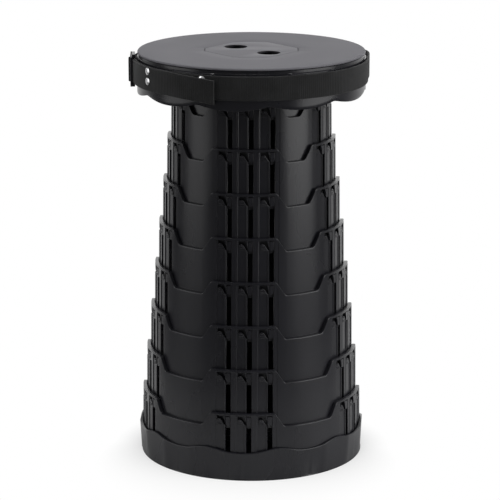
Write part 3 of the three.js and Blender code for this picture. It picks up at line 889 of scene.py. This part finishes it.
def make_seat_tray():
    outer = front_radius("seat_tray")
    inner = outer - SKIRT_WALL
    rim = outer - SHOULDER_WIDTH
    lower = WELL_WALL - WELL_ROUND
    underside = [(inner, PLATE_BOTTOM), (WELL_RADIUS + WELL_WALL, PLATE_BOTTOM)]
    underside += [(WELL_RADIUS + WELL_WALL, WELL_FLOOR - lower)]
    underside += [(WELL_RADIUS + lower, WELL_FLOOR - WELL_WALL), (0.0, WELL_FLOOR - WELL_WALL)]

    def outline(angle):
        edge = TRAY_EDGE_LOW + TRAY_EDGE_WAVE * wave(angle - TRAY_LOBE_TURN, TRAY_EDGE_SHARES, TRAY_LOBES)
        recess = recess_at(angle, outer)
        ease = min(SHOULDER_CHAMFER, (SHOULDER_WIDTH - recess) * CHAMFER_SHARE)
        points = [(0.0, WELL_FLOOR), (WELL_RADIUS / 2, WELL_FLOOR), (WELL_RADIUS - WELL_ROUND, WELL_FLOOR)]
        points += [(WELL_RADIUS, WELL_FLOOR + WELL_ROUND), (WELL_RADIUS, PLATE_TOP)]
        points += [(WELL_RADIUS + PLATE_FLAT, PLATE_TOP), (rim - RIM_EASE, PLATE_TOP)]
        points += [(rim, PLATE_TOP - RIM_EASE), (rim, SHOULDER_TOP)]
        points += [(outer - recess - ease, SHOULDER_TOP), (outer - recess, SHOULDER_TOP - ease)]
        points += [(outer - recess, SHOULDER_TOP - RECESS_DROP + recess), (outer, SHOULDER_TOP - RECESS_DROP)]
        points += [(outer, edge + SKIRT_STRAIGHT)]
        points += [(outer - step, edge + up) for step, up in SKIRT_OUTER_ROUND]
        points += [(inner + step, edge + up) for step, up in SKIRT_INNER_ROUND]
        return points + underside

    tray = swept_piece("seat_tray_skirt", even_angles(TRAY_COLUMNS), outline, black_plastic, False)
    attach(tray, "seat")
    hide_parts("seat_tray")
    return tray


seat_tray = make_seat_tray()
print("seat tray is", round(seat_tray.dimensions.x / MM, 1), "mm across")

# %% [markdown]
# ## The lid and its octagonal panel
#
# The grey lid is a thin disc with a rounded rim and an octagonal window. The panel fills
# the window with a hairline gap all round, which is what makes it read as its own piece,
# and has two finger holes. Both take their edge from one outline, worked out here, so
# they always fit. One more helper says how far out the outline lies in any direction.

# %% Panel outline
PANEL_LENGTH = 50.5
PANEL_END = 10.0
PANEL_SIDE = 19.0
PANEL_CORNER = 50.0
PANEL_BOW = 3.0
PANEL_STEPS = 12
WINDOW_DIRECTIONS = 180
APART = 0.008
PARALLEL, SLACK = 1e-9, 1e-6


def panel_outline(margin):
    """The octagon with bowed long sides, in the seat's own directions."""
    length, corner = PANEL_LENGTH - margin, PANEL_CORNER - margin
    half = [(length, -PANEL_END), (length, PANEL_END)]
    for k in range(PANEL_STEPS + 1):
        x = PANEL_SIDE * (1 - 2 * k / PANEL_STEPS)
        bow = PANEL_BOW * (1 - (x / PANEL_SIDE) ** 2)
        half.append((x, corner + bow))
    return half + [(-x, -y) for x, y in half]


def outline_reach(outline, angle):
    """How far out the outline lies in a direction from the middle."""
    dx, dy = math.cos(angle), math.sin(angle)
    for (ax, ay), (bx, by) in zip(outline, outline[1:] + outline[:1]):
        ex, ey = bx - ax, by - ay
        across = dx * ey - dy * ex
        if abs(across) < PARALLEL:
            continue
        reach = (ax * ey - ay * ex) / across
        along = (ax * dy - ay * dx) / across
        if reach > 0 and -SLACK <= along <= 1 + SLACK:
            return reach
    raise ValueError("the outline doesn't go round the middle")


def panel_angles():
    corners = [math.atan2(y, x) % (2 * math.pi) for x, y in panel_outline(0.0)]
    apart = [a for a in even_angles(WINDOW_DIRECTIONS) if all(abs(a - c) > APART for c in corners)]
    return sorted(corners + apart)


print("octagon:", len(panel_outline(0.0)), "corners")

# %% [markdown]
# ## The lid
#
# The lid could be a disc with an octagon cut out of it, but a cut leaves long thin faces
# that shade badly. So the lid is swept like the others: its inner edge follows the
# octagon, its outer edge is a circle, and a few bands lie evenly between the two.

# %% Lid
LID_BOTTOM = span_mm("centre_panel")[0][2]
LID_TOP = span_mm("seat_cover")[1][2]
LID_RIM_WALL = 1.0
LID_RIM_HEIGHT = 2.2
LID_RIM_LEAN, LID_RIM_EASE = 0.2, 0.25
LID_EDGE = 1.5
LID_EDGE_STEPS = 8
LID_BANDS = 4

# Rounding of the window's edge, as steps out from the window and down from the top.
WINDOW_ROUND = [(0.0, 0.4), (0.12, 0.12), (0.4, 0.0)]


def make_lid():
    outer = front_radius("seat_cover")
    inner = outer - LID_RIM_WALL
    foot = LID_TOP - LID_RIM_HEIGHT
    window = panel_outline(0.0)
    turns = [k * math.pi / 2 / LID_EDGE_STEPS for k in range(LID_EDGE_STEPS + 1)]

    def outline(angle):
        edge = outline_reach(window, angle - math.pi / 2 - VIEW_TURN)
        points = [(edge, LID_BOTTOM)]
        points += [(edge + step, LID_TOP - down) for step, down in WINDOW_ROUND]
        points += [(edge + (outer - LID_EDGE - edge) * k / LID_BANDS, LID_TOP) for k in range(1, LID_BANDS)]
        for turn in turns:
            inward, down = LID_EDGE * (1 - math.sin(turn)), LID_EDGE * (1 - math.cos(turn))
            points.append((outer - inward, LID_TOP - down))
        points += [(outer, foot + LID_RIM_EASE), (outer - LID_RIM_EASE, foot)]
        return points + [(inner, foot), (inner - LID_RIM_LEAN, LID_BOTTOM)]

    angles = [a + math.pi / 2 + VIEW_TURN for a in panel_angles()]
    lid = swept_piece("seat_lid", angles, outline, lid_plastic)
    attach(lid, "seat")
    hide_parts("seat_cover")
    return lid


lid = make_lid()
print("lid is", round(lid.dimensions.x / MM, 1), "mm across")

# %% [markdown]
# ## Flat plates with holes
#
# The panel's finger holes lie off its centre, so it can't be swept. A flat curve can:
# Blender fills the space between an outline and the holes in it, gives it thickness and
# rounds its edges. The result is turned into a plain mesh. The strap's buckle, a frame
# with two windows, is made the same way.

# %% Plates cut from an outline
PLATE_ROUND_STEPS = 2
PLATE_WELD_WITHIN = 0.005
PLATE_SHARP = 30.0
HOLE_SIDES = 64


def closed_spline(curve, points):
    spline = curve.splines.new("POLY")
    spline.points.add(len(points) - 1)
    for point, (x, y) in zip(spline.points, points):
        point.co = (x * MM, y * MM, 0.0, 1.0)
    spline.use_cyclic_u = True


def round_hole(x, y, radius):
    return [(x + radius * math.cos(t), y + radius * math.sin(t)) for t in even_angles(HOLE_SIDES)]


def plate(name, outlines, thickness, edge, material):
    """A flat plate with holes and rounded edges, centred on the XY plane."""
    curve = bpy.data.curves.new(name, "CURVE")
    curve.dimensions = "2D"
    curve.fill_mode = "BOTH"
    curve.extrude = (thickness / 2 - edge) * MM
    curve.bevel_depth = edge * MM
    curve.bevel_resolution = PLATE_ROUND_STEPS
    curve.offset = -edge * MM
    for outline in outlines:
        closed_spline(curve, outline)
    holder = bpy.data.objects.new(name, curve)
    bpy.context.collection.objects.link(holder)
    bpy.context.view_layer.update()
    flat = holder.evaluated_get(bpy.context.evaluated_depsgraph_get())
    mesh = bpy.data.meshes.new_from_object(flat)
    bpy.data.objects.remove(holder)
    clean = bmesh.new()
    clean.from_mesh(mesh)
    bmesh.ops.remove_doubles(clean, verts=clean.verts, dist=PLATE_WELD_WITHIN * MM)
    bmesh.ops.recalc_face_normals(clean, faces=clean.faces)
    clean.to_mesh(mesh)
    clean.free()
    mesh.shade_smooth()
    mesh.set_sharp_from_angle(angle=math.radians(PLATE_SHARP))
    mesh.materials.clear()
    mesh.materials.append(material)
    piece = bpy.data.objects.new(name, mesh)
    bpy.context.collection.objects.link(piece)
    return piece


# %% [markdown]
# ## The centre panel
#
# The panel is hollow behind its finger holes, so that fingertips can hook it. Two plates
# make that: a thin skin with the holes as they show, and a backing under it whose holes
# are wider. They stay two closed shells in one piece.

# %% Centre panel
PANEL_GAP = 0.6
PANEL_SKIN = 0.7
SKIN_ROUND, BACKING_ROUND = 0.25, 0.1
HOLE_UNDERCUT = 3.0
HOLE_RADIUS = 12.5
HOLE_PLACES = [(-17.0, 20.0), (18.5, -20.0)]


def make_panel():
    turn = Matrix.Rotation(VIEW_TURN, 4, "Z")
    skin_bottom = LID_TOP - PANEL_SKIN
    skin = (skin_bottom, LID_TOP, 0.0, SKIN_ROUND)
    backing = (LID_BOTTOM, skin_bottom, HOLE_UNDERCUT, BACKING_ROUND)
    layers = []
    for low, high, wider, edge in (skin, backing):
        outlines = [panel_outline(PANEL_GAP)]
        outlines += [round_hole(x, y, HOLE_RADIUS + wider) for x, y in HOLE_PLACES]
        layer = plate("centre_finger_panel", outlines, high - low, edge, panel_plastic)
        layer.data.transform(Matrix.Translation((0.0, 0.0, (low + high) / 2 * MM)) @ turn)
        layers.append(layer)
    panel, under = layers
    both = bmesh.new()
    both.from_mesh(panel.data)
    both.from_mesh(under.data)
    both.to_mesh(panel.data)
    both.free()
    bpy.data.objects.remove(under)
    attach(panel, "seat")
    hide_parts("centre_panel")
    return panel


centre_panel = make_panel()
print("panel is", round(centre_panel.dimensions.x / MM, 1), "mm long")

# %% [markdown]
# ## The strap's webbing
#
# The carrying strap is woven from black yarn. Its upright ribs are coarse enough to be
# real geometry, made with the strap itself. The weave across them and the fuzz of the
# yarn are far finer, so they are bump. A little sheen gives the edge-on brightness that
# cloth has and plastic doesn't.

# %% Webbing finish
WEAVE_SCALE = 260.0
FUZZ_SCALE, FUZZ_DETAIL = 900.0, 4.0
WEAVE_STRENGTH, WEAVE_HEIGHT = 0.4, 0.0002
YARN_SCALE, YARN_DETAIL = 60.0, 4.0
YARN_DARK, YARN_LIGHT = (0.0055, 0.0056, 0.0058), (0.0135, 0.0138, 0.0143)


def webbing_material():
    material, tree, shader = new_material("black_webbing")
    place = tree.nodes.new("ShaderNodeUVMap")
    place.uv_map = "run"
    across = tree.nodes.new("ShaderNodeTexWave")
    across.wave_type = "BANDS"
    across.bands_direction = "Y"
    across.inputs["Scale"].default_value = WEAVE_SCALE
    tree.links.new(place.outputs["UV"], across.inputs["Vector"])
    fuzz = object_noise(tree, FUZZ_SCALE, FUZZ_DETAIL)
    weave = maths(tree, "ADD", across.outputs["Fac"], fuzz)
    tree.links.new(grain_bump(tree, weave, WEAVE_STRENGTH, WEAVE_HEIGHT), shader.inputs["Normal"])
    patches = object_noise(tree, YARN_SCALE, YARN_DETAIL)
    tree.links.new(two_tone(tree, patches, YARN_DARK, YARN_LIGHT), shader.inputs["Base Color"])
    shader.inputs["Roughness"].default_value = 0.85
    shader.inputs["Specular IOR Level"].default_value = 0.25
    shader.inputs["Sheen Weight"].default_value = 0.2
    shader.inputs["Sheen Roughness"].default_value = 0.5
    return material


webbing = webbing_material()
print("webbing:", webbing.name)

# %% [markdown]
# ## The strap's run
#
# The strap is one length of webbing. It starts under its own free end at the left, goes
# round the front, the right side, where it stands off the tray in a loose bulge, and the
# back, weaves through the buckle, and lies over itself to a cut end at the front left.
# Places along it are angles from the front, in degrees, counted on past a full turn
# where it lies double. One function says how far out it lies at any place.

# %% Strap run
FULL_TURN = 360.0
STRAP_WIDTH = 25.4
STRAP_THICKNESS = 1.8
STRAP_HIGH = span_mm("carry_strap")[1][2]
STRAP_LOW = STRAP_HIGH - STRAP_WIDTH
STRAP_SEAT_GAP = 0.7
LAYER_GAP = 0.3
LAYER_FROM, LAYER_TO = 24.0, 8.0
BULGE = 8.0
BULGE_AT, BULGE_SPAN = 110.0, 22.0
BUCKLE_AT = -88.0
BUCKLE_THICKNESS = 2.2
BUCKLE_GAP = 0.3
CENTRE_BAR, WINDOW, SIDE_BAR = 4.0, 6.0, 5.0
TAIL_END = -17.5
TAIL_FROM, TAIL_DROOP = -48.0, 4.7
FRONT_RIVET_AT = -23.6
RIVET_HEIGHT = 1.3
RIVET_CLEAR = 10.0
strap_inner = front_radius("seat_tray") + STRAP_SEAT_GAP
outer_layer = strap_inner + STRAP_THICKNESS + LAYER_GAP


def smooth_share(value, start, end):
    share = min(max((value - start) / (end - start), 0.0), 1.0)
    return share * share * (3 - 2 * share)


def strap_face(run):
    """How far the strap's inner face lies from the axis, at an angle along its run."""
    away = min(abs(run - BULGE_AT) / BULGE_SPAN, 1.0)
    bulge = BULGE * 0.5 * (1 + math.cos(math.pi * away))
    buckle_run = BUCKLE_AT + FULL_TURN
    doubled = smooth_share(run, buckle_run - LAYER_FROM, buckle_run - LAYER_TO)
    layer = (STRAP_THICKNESS + LAYER_GAP) * doubled
    sideways = abs(math.radians(run - buckle_run)) * outer_layer
    flat, clear = CENTRE_BAR / 2 + 3 * BUCKLE_GAP, CENTRE_BAR / 2 + WINDOW - 2 * BUCKLE_GAP
    weave = 1 - min(max((sideways - flat) / (clear - flat), 0.0), 1.0)
    weave = weave * weave * (3 - 2 * weave)
    lift = (BUCKLE_THICKNESS + STRAP_THICKNESS + 2 * BUCKLE_GAP) * weave
    over_rivet = smooth_share(run, TAIL_FROM + FULL_TURN, FRONT_RIVET_AT + FULL_TURN - RIVET_CLEAR)
    return strap_inner + bulge + layer + lift + (RIVET_HEIGHT + LAYER_GAP) * over_rivet


print("strap lies", round(strap_inner, 1), "mm out, and", round(outer_layer, 1), "mm where doubled")

# %% [markdown]
# ## The strap, rib by rib
#
# The webbing's cross-section is a flat bar with rounded selvedges. Swept along the run,
# it is thinner at every fourth section, and those dips are the grooves between the
# upright ribs. The free end droops and curls a little, as loose webbing does. A UV map
# that measures the way round and the height lets the weave follow the strap.

# %% Strap section
RIB_PITCH = 2.4
RIB_DEPTH = 0.22
RIB_STEPS = 4
RIB_POWER = 4
SECTION_STEPS = 8

# The rounded selvedge, as shares of half the thickness and heights over the lower edge.
SELVEDGE = [(0.55, 0.0), (0.95, 0.5), (1.0, 1.6)]


def strap_section(rib):
    """The webbing's cross-section: up the outer face and down the inner one."""
    half = STRAP_THICKNESS / 2 - RIB_DEPTH * rib
    foot = [(half * share, height) for share, height in SELVEDGE]
    across = [(half, STRAP_WIDTH * k / SECTION_STEPS) for k in range(1, SECTION_STEPS)]
    outside = foot + across + [(x, STRAP_WIDTH - z) for x, z in reversed(foot)]
    return outside + [(-x, z) for x, z in reversed(outside)]


print("strap section:", len(strap_section(0)), "points")

# %% Strap
STRAP_START = BUCKLE_AT + 4.0
STRAP_END = TAIL_END + FULL_TURN
STRAP_SHARP = 60.0
TAIL_CURL = 0.35


def make_strap():
    step = math.degrees(RIB_PITCH / RIB_STEPS / strap_inner)
    count = int((STRAP_END - STRAP_START) / step)
    rows = len(strap_section(0))
    points = []
    for i in range(count + 1):
        run = STRAP_START + (STRAP_END - STRAP_START) * i / count
        angle = math.radians(run) + VIEW_TURN
        share = min(max((run - FULL_TURN - TAIL_FROM) / (TAIL_END - TAIL_FROM), 0.0), 1.0)
        droop = TAIL_DROOP * share * share
        middle = strap_face(run) + STRAP_THICKNESS / 2
        for offset, height in strap_section(math.sin(math.pi * i / RIB_STEPS) ** RIB_POWER):
            curl = TAIL_CURL * share * math.sin(math.pi * height / STRAP_WIDTH)
            points.append(at_angle(middle + offset + curl, angle, STRAP_LOW + height - droop))
    faces = []
    for i in range(count):
        for j in range(rows):
            n = (j + 1) % rows
            faces.append((i * rows + j, (i + 1) * rows + j, (i + 1) * rows + n, i * rows + n))
    faces += [tuple(range(rows)), tuple(range(count * rows + rows - 1, count * rows - 1, -1))]
    strap = mesh_piece("carry_strap_webbing", points, faces, webbing, STRAP_SHARP)
    layer = strap.data.uv_layers.new(name="run")
    for loop in strap.data.loops:
        x, y, z = strap.data.vertices[loop.vertex_index].co
        layer.data[loop.index].uv = (math.atan2(x, -y) * strap_inner * MM, z)
    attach(strap, "seat")
    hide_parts("carry_strap")
    return strap


strap = make_strap()
print("strap mesh:", len(strap.data.polygons), "faces")

# %% [markdown]
# ## The slide buckle
#
# A flat moulded frame with a bar between two windows. The strap goes under the side bars
# and over the middle one, so pulling it tight clamps it. Above and below the strap the
# frame is thicker and reaches in towards the tray.

# %% Buckle
BUCKLE_ROUND = 0.5
RAIL_DEPTH = 5.0
RAIL_INSET = 0.2
RAIL_ROUND, RAIL_STEPS = 0.5, 2


def add_rails(buckle, half, near, far):
    """Thick rounded ends behind the frame's top and bottom edges."""
    shape = bmesh.new()
    shape.from_mesh(buckle.data)
    front, back = BUCKLE_THICKNESS / 2 - RAIL_INSET, BUCKLE_THICKNESS / 2 - RAIL_DEPTH
    for side in (-1, 1):
        made = bmesh.ops.create_cube(shape, size=1.0)["verts"]
        middle = Vector((0.0, side * (near + far) / 2, (front + back) / 2)) * MM
        size = Vector((2 * half, far - near, front - back)) * MM
        for vertex in made:
            vertex.co = middle + Vector(a * b for a, b in zip(vertex.co, size))
        edges = list({edge for vertex in made for edge in vertex.link_edges})
        bmesh.ops.bevel(
            shape, geom=edges, offset=RAIL_ROUND * MM, segments=RAIL_STEPS, affect="EDGES", profile=0.5
        )
    shape.to_mesh(buckle.data)
    shape.free()


def make_buckle():
    half = CENTRE_BAR / 2 + WINDOW + SIDE_BAR
    low, top = span_mm("strap_buckle")[0][2], span_mm("strap_buckle")[1][2]
    high, middle = (top - low) / 2, (top + low) / 2
    reach = STRAP_WIDTH / 2 + 2 * BUCKLE_GAP
    cut = SIDE_BAR / 2
    frame_outline = [(-half + cut, -high), (half - cut, -high), (half, -high + cut), (half, high - cut)]
    frame_outline += [(half - cut, high), (-half + cut, high), (-half, high - cut), (-half, -high + cut)]
    near, far = CENTRE_BAR / 2, CENTRE_BAR / 2 + WINDOW
    windows = [rectangle(near, far, -reach, reach), rectangle(-far, -near, -reach, reach)]
    outlines = [frame_outline] + windows
    buckle = plate("strap_slide_buckle", outlines, BUCKLE_THICKNESS, BUCKLE_ROUND, black_plastic)
    add_rails(buckle, half - cut, reach, high)
    distance = outer_layer + STRAP_THICKNESS + BUCKLE_GAP + BUCKLE_THICKNESS / 2
    stand = Matrix.Rotation(math.pi / 2, 4, "X")
    out = Matrix.Translation((0.0, -distance * MM, middle * MM))
    turn = Matrix.Rotation(math.radians(BUCKLE_AT) + VIEW_TURN, 4, "Z")
    buckle.data.transform(turn @ out @ stand)
    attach(buckle, "seat")
    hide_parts("strap_buckle")
    return buckle


buckle = make_buckle()
print("buckle:", len(buckle.data.polygons), "faces")

# %% [markdown]
# ## Rivets
#
# Bright steel rivets fasten the strap: two beside the buckle and one at the front, half
# hidden by the strap's free end. Each head is a low dome with a thin flat flange. A rivet
# is turned, so its profile is swept round its own axis, and then laid down and turned to
# face outwards. Fine scratches keep the steel from looking like a mirror.

# %% Steel finish
SCRATCH_SCALE, SCRATCH_DETAIL = 700.0, 3.0
SCRATCH_STRETCH = (1.0, 1.0, 6.0)
STEEL_DARK, STEEL_LIGHT = (0.72, 0.72, 0.73), (0.86, 0.86, 0.87)
STEEL_ROUGHNESS = (0.18, 0.32)


def steel_material():
    material, tree, shader = new_material("bright_steel")
    scratches = object_noise(tree, SCRATCH_SCALE, SCRATCH_DETAIL, SCRATCH_STRETCH)
    tree.links.new(two_tone(tree, scratches, STEEL_DARK, STEEL_LIGHT), shader.inputs["Base Color"])
    tree.links.new(spread(tree, scratches, *STEEL_ROUGHNESS), shader.inputs["Roughness"])
    shader.inputs["Metallic"].default_value = 1.0
    return material


steel = steel_material()
print("steel:", steel.name)

# %% Rivets
RIVET_RADIUS = 3.9
RIVET_SHANK = 1.8
RIVET_COLUMNS = 40
RIVET_GRIP = 0.3
FLANGE_SIDE, FLANGE_TOP, FLANGE_EASE = 0.35, 0.5, 0.4
DOME_INSET, DOME_STEPS = 0.6, 6


def make_rivet(node, face):
    low, high = span_mm(node)
    middle = (low[2] + high[2]) / 2
    around = math.atan2(low[0] + high[0], -low[1] - high[1])
    back = front_radius("seat_tray") - SKIRT_WALL + RIVET_GRIP
    seat = face + LAYER_GAP
    profile = [(0.0, back), (RIVET_SHANK, back), (RIVET_SHANK, seat), (RIVET_RADIUS, seat)]
    profile += [(RIVET_RADIUS, seat + FLANGE_SIDE), (RIVET_RADIUS - FLANGE_EASE, seat + FLANGE_TOP)]
    for k in range(1, DOME_STEPS + 1):
        turn = k * math.pi / 2 / DOME_STEPS
        out = (RIVET_RADIUS - DOME_INSET) * math.cos(turn)
        profile.append((out, seat + FLANGE_TOP + (RIVET_HEIGHT - FLANGE_TOP) * math.sin(turn)))
    points, rows = swept_points(even_angles(RIVET_COLUMNS), lambda angle: profile)
    rivet = mesh_piece(f"bright_{node}", points, swept_faces(RIVET_COLUMNS, rows, False), steel)
    lay = Matrix.Rotation(math.pi / 2, 4, "X")
    lift = Matrix.Translation((0.0, 0.0, middle * MM))
    turn = Matrix.Rotation(around, 4, "Z")
    rivet.data.transform(turn @ lift @ lay)
    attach(rivet, "seat")
    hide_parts(node)
    return rivet


pair_face = outer_layer + STRAP_THICKNESS
rivets = [make_rivet(name, pair_face) for name in ("strap_rivet_upper", "strap_rivet_lower")]
rivets.append(make_rivet("front_rivet", strap_inner + STRAP_THICKNESS))
print("rivets:", len(rivets))

# %% [markdown]
# ## Screws under the seat
#
# Five steel screws hold the neck ring to the tray. They are hidden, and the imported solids
# already have their shape, so making them again would add nothing. They only need their
# metal.

# %% Screws
SCREW_COUNT = 5

for k in range(SCREW_COUNT):
    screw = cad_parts[f"neck_screw_{k + 1}"]
    screw.data.materials.clear()
    screw.data.materials.append(steel)
print("screws finished:", SCREW_COUNT)

# %% [markdown]
# ## The floor
#
# The photograph is a cut-out on white with only a faint shade round the foot. A disc of
# pale floor gives the stool something to stand on. To the camera it shows as white, with a
# painted shadow round the foot: the white fades there, so the floor is darker, and its real
# shadow also comes through. Glossy plastic is to reflect that white too, but only the
# floor behind the stool, since a white floor in front would wash out the black rings.

# %% Helpers for floor and sky
WHITE = (1.0, 1.0, 1.0, 1.0)


def coordinate(tree, space, axis):
    """One coordinate of the place that is shaded."""
    place = tree.nodes.new("ShaderNodeTexCoord")
    split = tree.nodes.new("ShaderNodeSeparateXYZ")
    tree.links.new(place.outputs[space], split.inputs["Vector"])
    return split.outputs[axis]


def rise(tree, value, start, end, top):
    """Nothing before the start, the top value after the end, and an even rise between."""
    ramp = tree.nodes.new("ShaderNodeMapRange")
    ramp.inputs["From Min"].default_value = start
    ramp.inputs["From Max"].default_value = end
    ramp.inputs["To Max"].default_value = top
    tree.links.new(value, ramp.inputs["Value"])
    return ramp.outputs["Result"]


def show_mixed(tree, share, plain, white, output):
    mix = tree.nodes.new("ShaderNodeMixShader")
    tree.links.new(share, mix.inputs["Fac"])
    tree.links.new(plain, mix.inputs[1])
    tree.links.new(white, mix.inputs[2])
    tree.links.new(mix.outputs["Shader"], tree.nodes[output].inputs["Surface"])


# %% Floor finish
FLOOR_TONE = (0.8, 0.8, 0.8, 1.0)
# The painted shadow round the foot: where it starts, and how far it reaches and how dark it is at the sides
# and in front.
SHADOW_START = 0.122
SHADOW_POWER = 1.5
SIDE_REACH, FRONT_REACH = 0.034, 0.1
SIDE_SHADE, FRONT_SHADE = 0.42, 0.26
MIRROR_START, MIRROR_END, MIRROR_SHARE = 0.0, 0.15, 0.8


def painted_shadow_fade(tree):
    """A painted shadow: how white the camera sees the floor, darkest at the foot, with a longer, paler shade
    in front.
    """
    place = tree.nodes.new("ShaderNodeTexCoord")
    length = tree.nodes.new("ShaderNodeVectorMath")
    length.operation = "LENGTH"
    tree.links.new(place.outputs["Object"], length.inputs[0])
    away = maths(tree, "SUBTRACT", length.outputs["Value"], SHADOW_START)
    forward = maths(tree, "MULTIPLY", coordinate(tree, "Object", "Y"), -1.0)
    ahead = maths(tree, "MAXIMUM", maths(tree, "DIVIDE", forward, length.outputs["Value"]), 0.0)
    reach = maths(tree, "ADD", maths(tree, "MULTIPLY", ahead, FRONT_REACH - SIDE_REACH), SIDE_REACH)
    share = maths(tree, "MINIMUM", maths(tree, "MAXIMUM", maths(tree, "DIVIDE", away, reach), 0.0), 1.0)
    rest = maths(tree, "SUBTRACT", 1.0, share)
    shade = maths(tree, "SUBTRACT", SIDE_SHADE, maths(tree, "MULTIPLY", ahead, SIDE_SHADE - FRONT_SHADE))
    depth = maths(tree, "MULTIPLY", maths(tree, "POWER", rest, SHADOW_POWER), shade)
    return maths(tree, "SUBTRACT", 1.0, depth)


def floor_material():
    material, tree, shader = new_material("pale_floor")
    shader.inputs["Base Color"].default_value = FLOOR_TONE
    shader.inputs["Roughness"].default_value = 0.9
    shader.inputs["Specular IOR Level"].default_value = 0.0
    glow = tree.nodes.new("ShaderNodeEmission")
    glow.inputs["Color"].default_value = WHITE
    path = tree.nodes.new("ShaderNodeLightPath")
    # Near the foot the camera's white fades into a painted shadow, and the floor's real shadow shows through
    # it.
    seen = maths(tree, "MULTIPLY", path.outputs["Is Camera Ray"], painted_shadow_fade(tree))
    behind = rise(tree, coordinate(tree, "Object", "Y"), MIRROR_START, MIRROR_END, MIRROR_SHARE)
    mirrored = maths(tree, "MULTIPLY", path.outputs["Is Glossy Ray"], behind)
    share = maths(tree, "MAXIMUM", seen, mirrored)
    show_mixed(tree, share, shader.outputs["BSDF"], glow.outputs["Emission"], "Material Output")
    return material


# %% Floor
FLOOR_RADIUS = 0.42
FLOOR_SIDES = 96


def add_floor():
    mesh = bpy.data.meshes.new("studio_floor")
    corners = [at_angle(FLOOR_RADIUS, angle, 0.0) for angle in even_angles(FLOOR_SIDES)]
    mesh.from_pydata(corners, [], [tuple(range(FLOOR_SIDES))])
    mesh.materials.append(floor_material())
    floor = bpy.data.objects.new("studio_floor", mesh)
    bpy.context.collection.objects.link(floor)
    return floor


floor = add_floor()
print("floor is", round(floor.dimensions.x, 2), "m across")

# %% [markdown]
# ## The light
#
# The camera and anything clear see a white sky, and gloss sees it only far behind the
# stool. For everything else the sky is dim, so that the lamps do the shaping. A studio
# would use softboxes, and area lamps are just that: one above, one in front, one on each
# side and one behind. The right one is the strongest, as the photograph is brighter there.

# %% Sky
SKY_STRENGTH = 0.12
BEHIND_START, BEHIND_END = 0.3, 0.8


def add_sky():
    world = bpy.data.worlds.new("studio_sky")
    bpy.context.scene.world = world
    world.use_nodes = True
    tree = world.node_tree
    dim = tree.nodes["Background"]
    dim.inputs["Color"].default_value = WHITE
    dim.inputs["Strength"].default_value = SKY_STRENGTH
    white = tree.nodes.new("ShaderNodeBackground")
    white.inputs["Color"].default_value = WHITE
    path = tree.nodes.new("ShaderNodeLightPath")
    direct = maths(tree, "MAXIMUM", path.outputs["Is Camera Ray"], path.outputs["Is Transmission Ray"])
    behind = rise(tree, coordinate(tree, "Generated", "Y"), BEHIND_START, BEHIND_END, 1.0)
    mirrored = maths(tree, "MULTIPLY", path.outputs["Is Glossy Ray"], behind)
    share = maths(tree, "MAXIMUM", direct, mirrored)
    show_mixed(tree, share, dim.outputs["Background"], white.outputs["Background"], "World Output")


add_sky()
print("sky strength:", SKY_STRENGTH)

# %% Lamps
# Each softbox: its name, its place, what it is aimed at, its width and height, its power.
SOFTBOXES = [
    ("top_softbox", (0.0, -0.35, 2.6), (0.0, 0.0, 0.2), (1.0, 0.9), 26.0),
    ("front_softbox", (0.0, -1.9, 2.5), (0.0, 0.0, 0.35), (2.2, 0.7), 5.0),
    ("left_softbox", (-2.2, -0.7, 0.9), (0.0, 0.0, 0.25), (1.6, 2.4), 20.0),
    ("right_softbox", (2.2, -0.7, 0.9), (0.0, 0.0, 0.25), (1.8, 2.4), 43.0),
    ("back_softbox", (0.0, 2.8, 0.9), (0.0, 0.0, 0.3), (4.0, 1.8), 8.0),
]


def add_lamp(name, place, aim, size, power):
    data = bpy.data.lights.new(name, "AREA")
    data.shape = "RECTANGLE"
    data.size, data.size_y = size
    data.energy = power
    lamp = bpy.data.objects.new(name, data)
    bpy.context.collection.objects.link(lamp)
    lamp.location = place
    lamp.rotation_euler = (Vector(aim) - Vector(place)).to_track_quat("-Z", "Y").to_euler()


for softbox in SOFTBOXES:
    add_lamp(*softbox)
bpy.context.scene.view_settings.view_transform = "Standard"
print("softboxes:", len(SOFTBOXES))
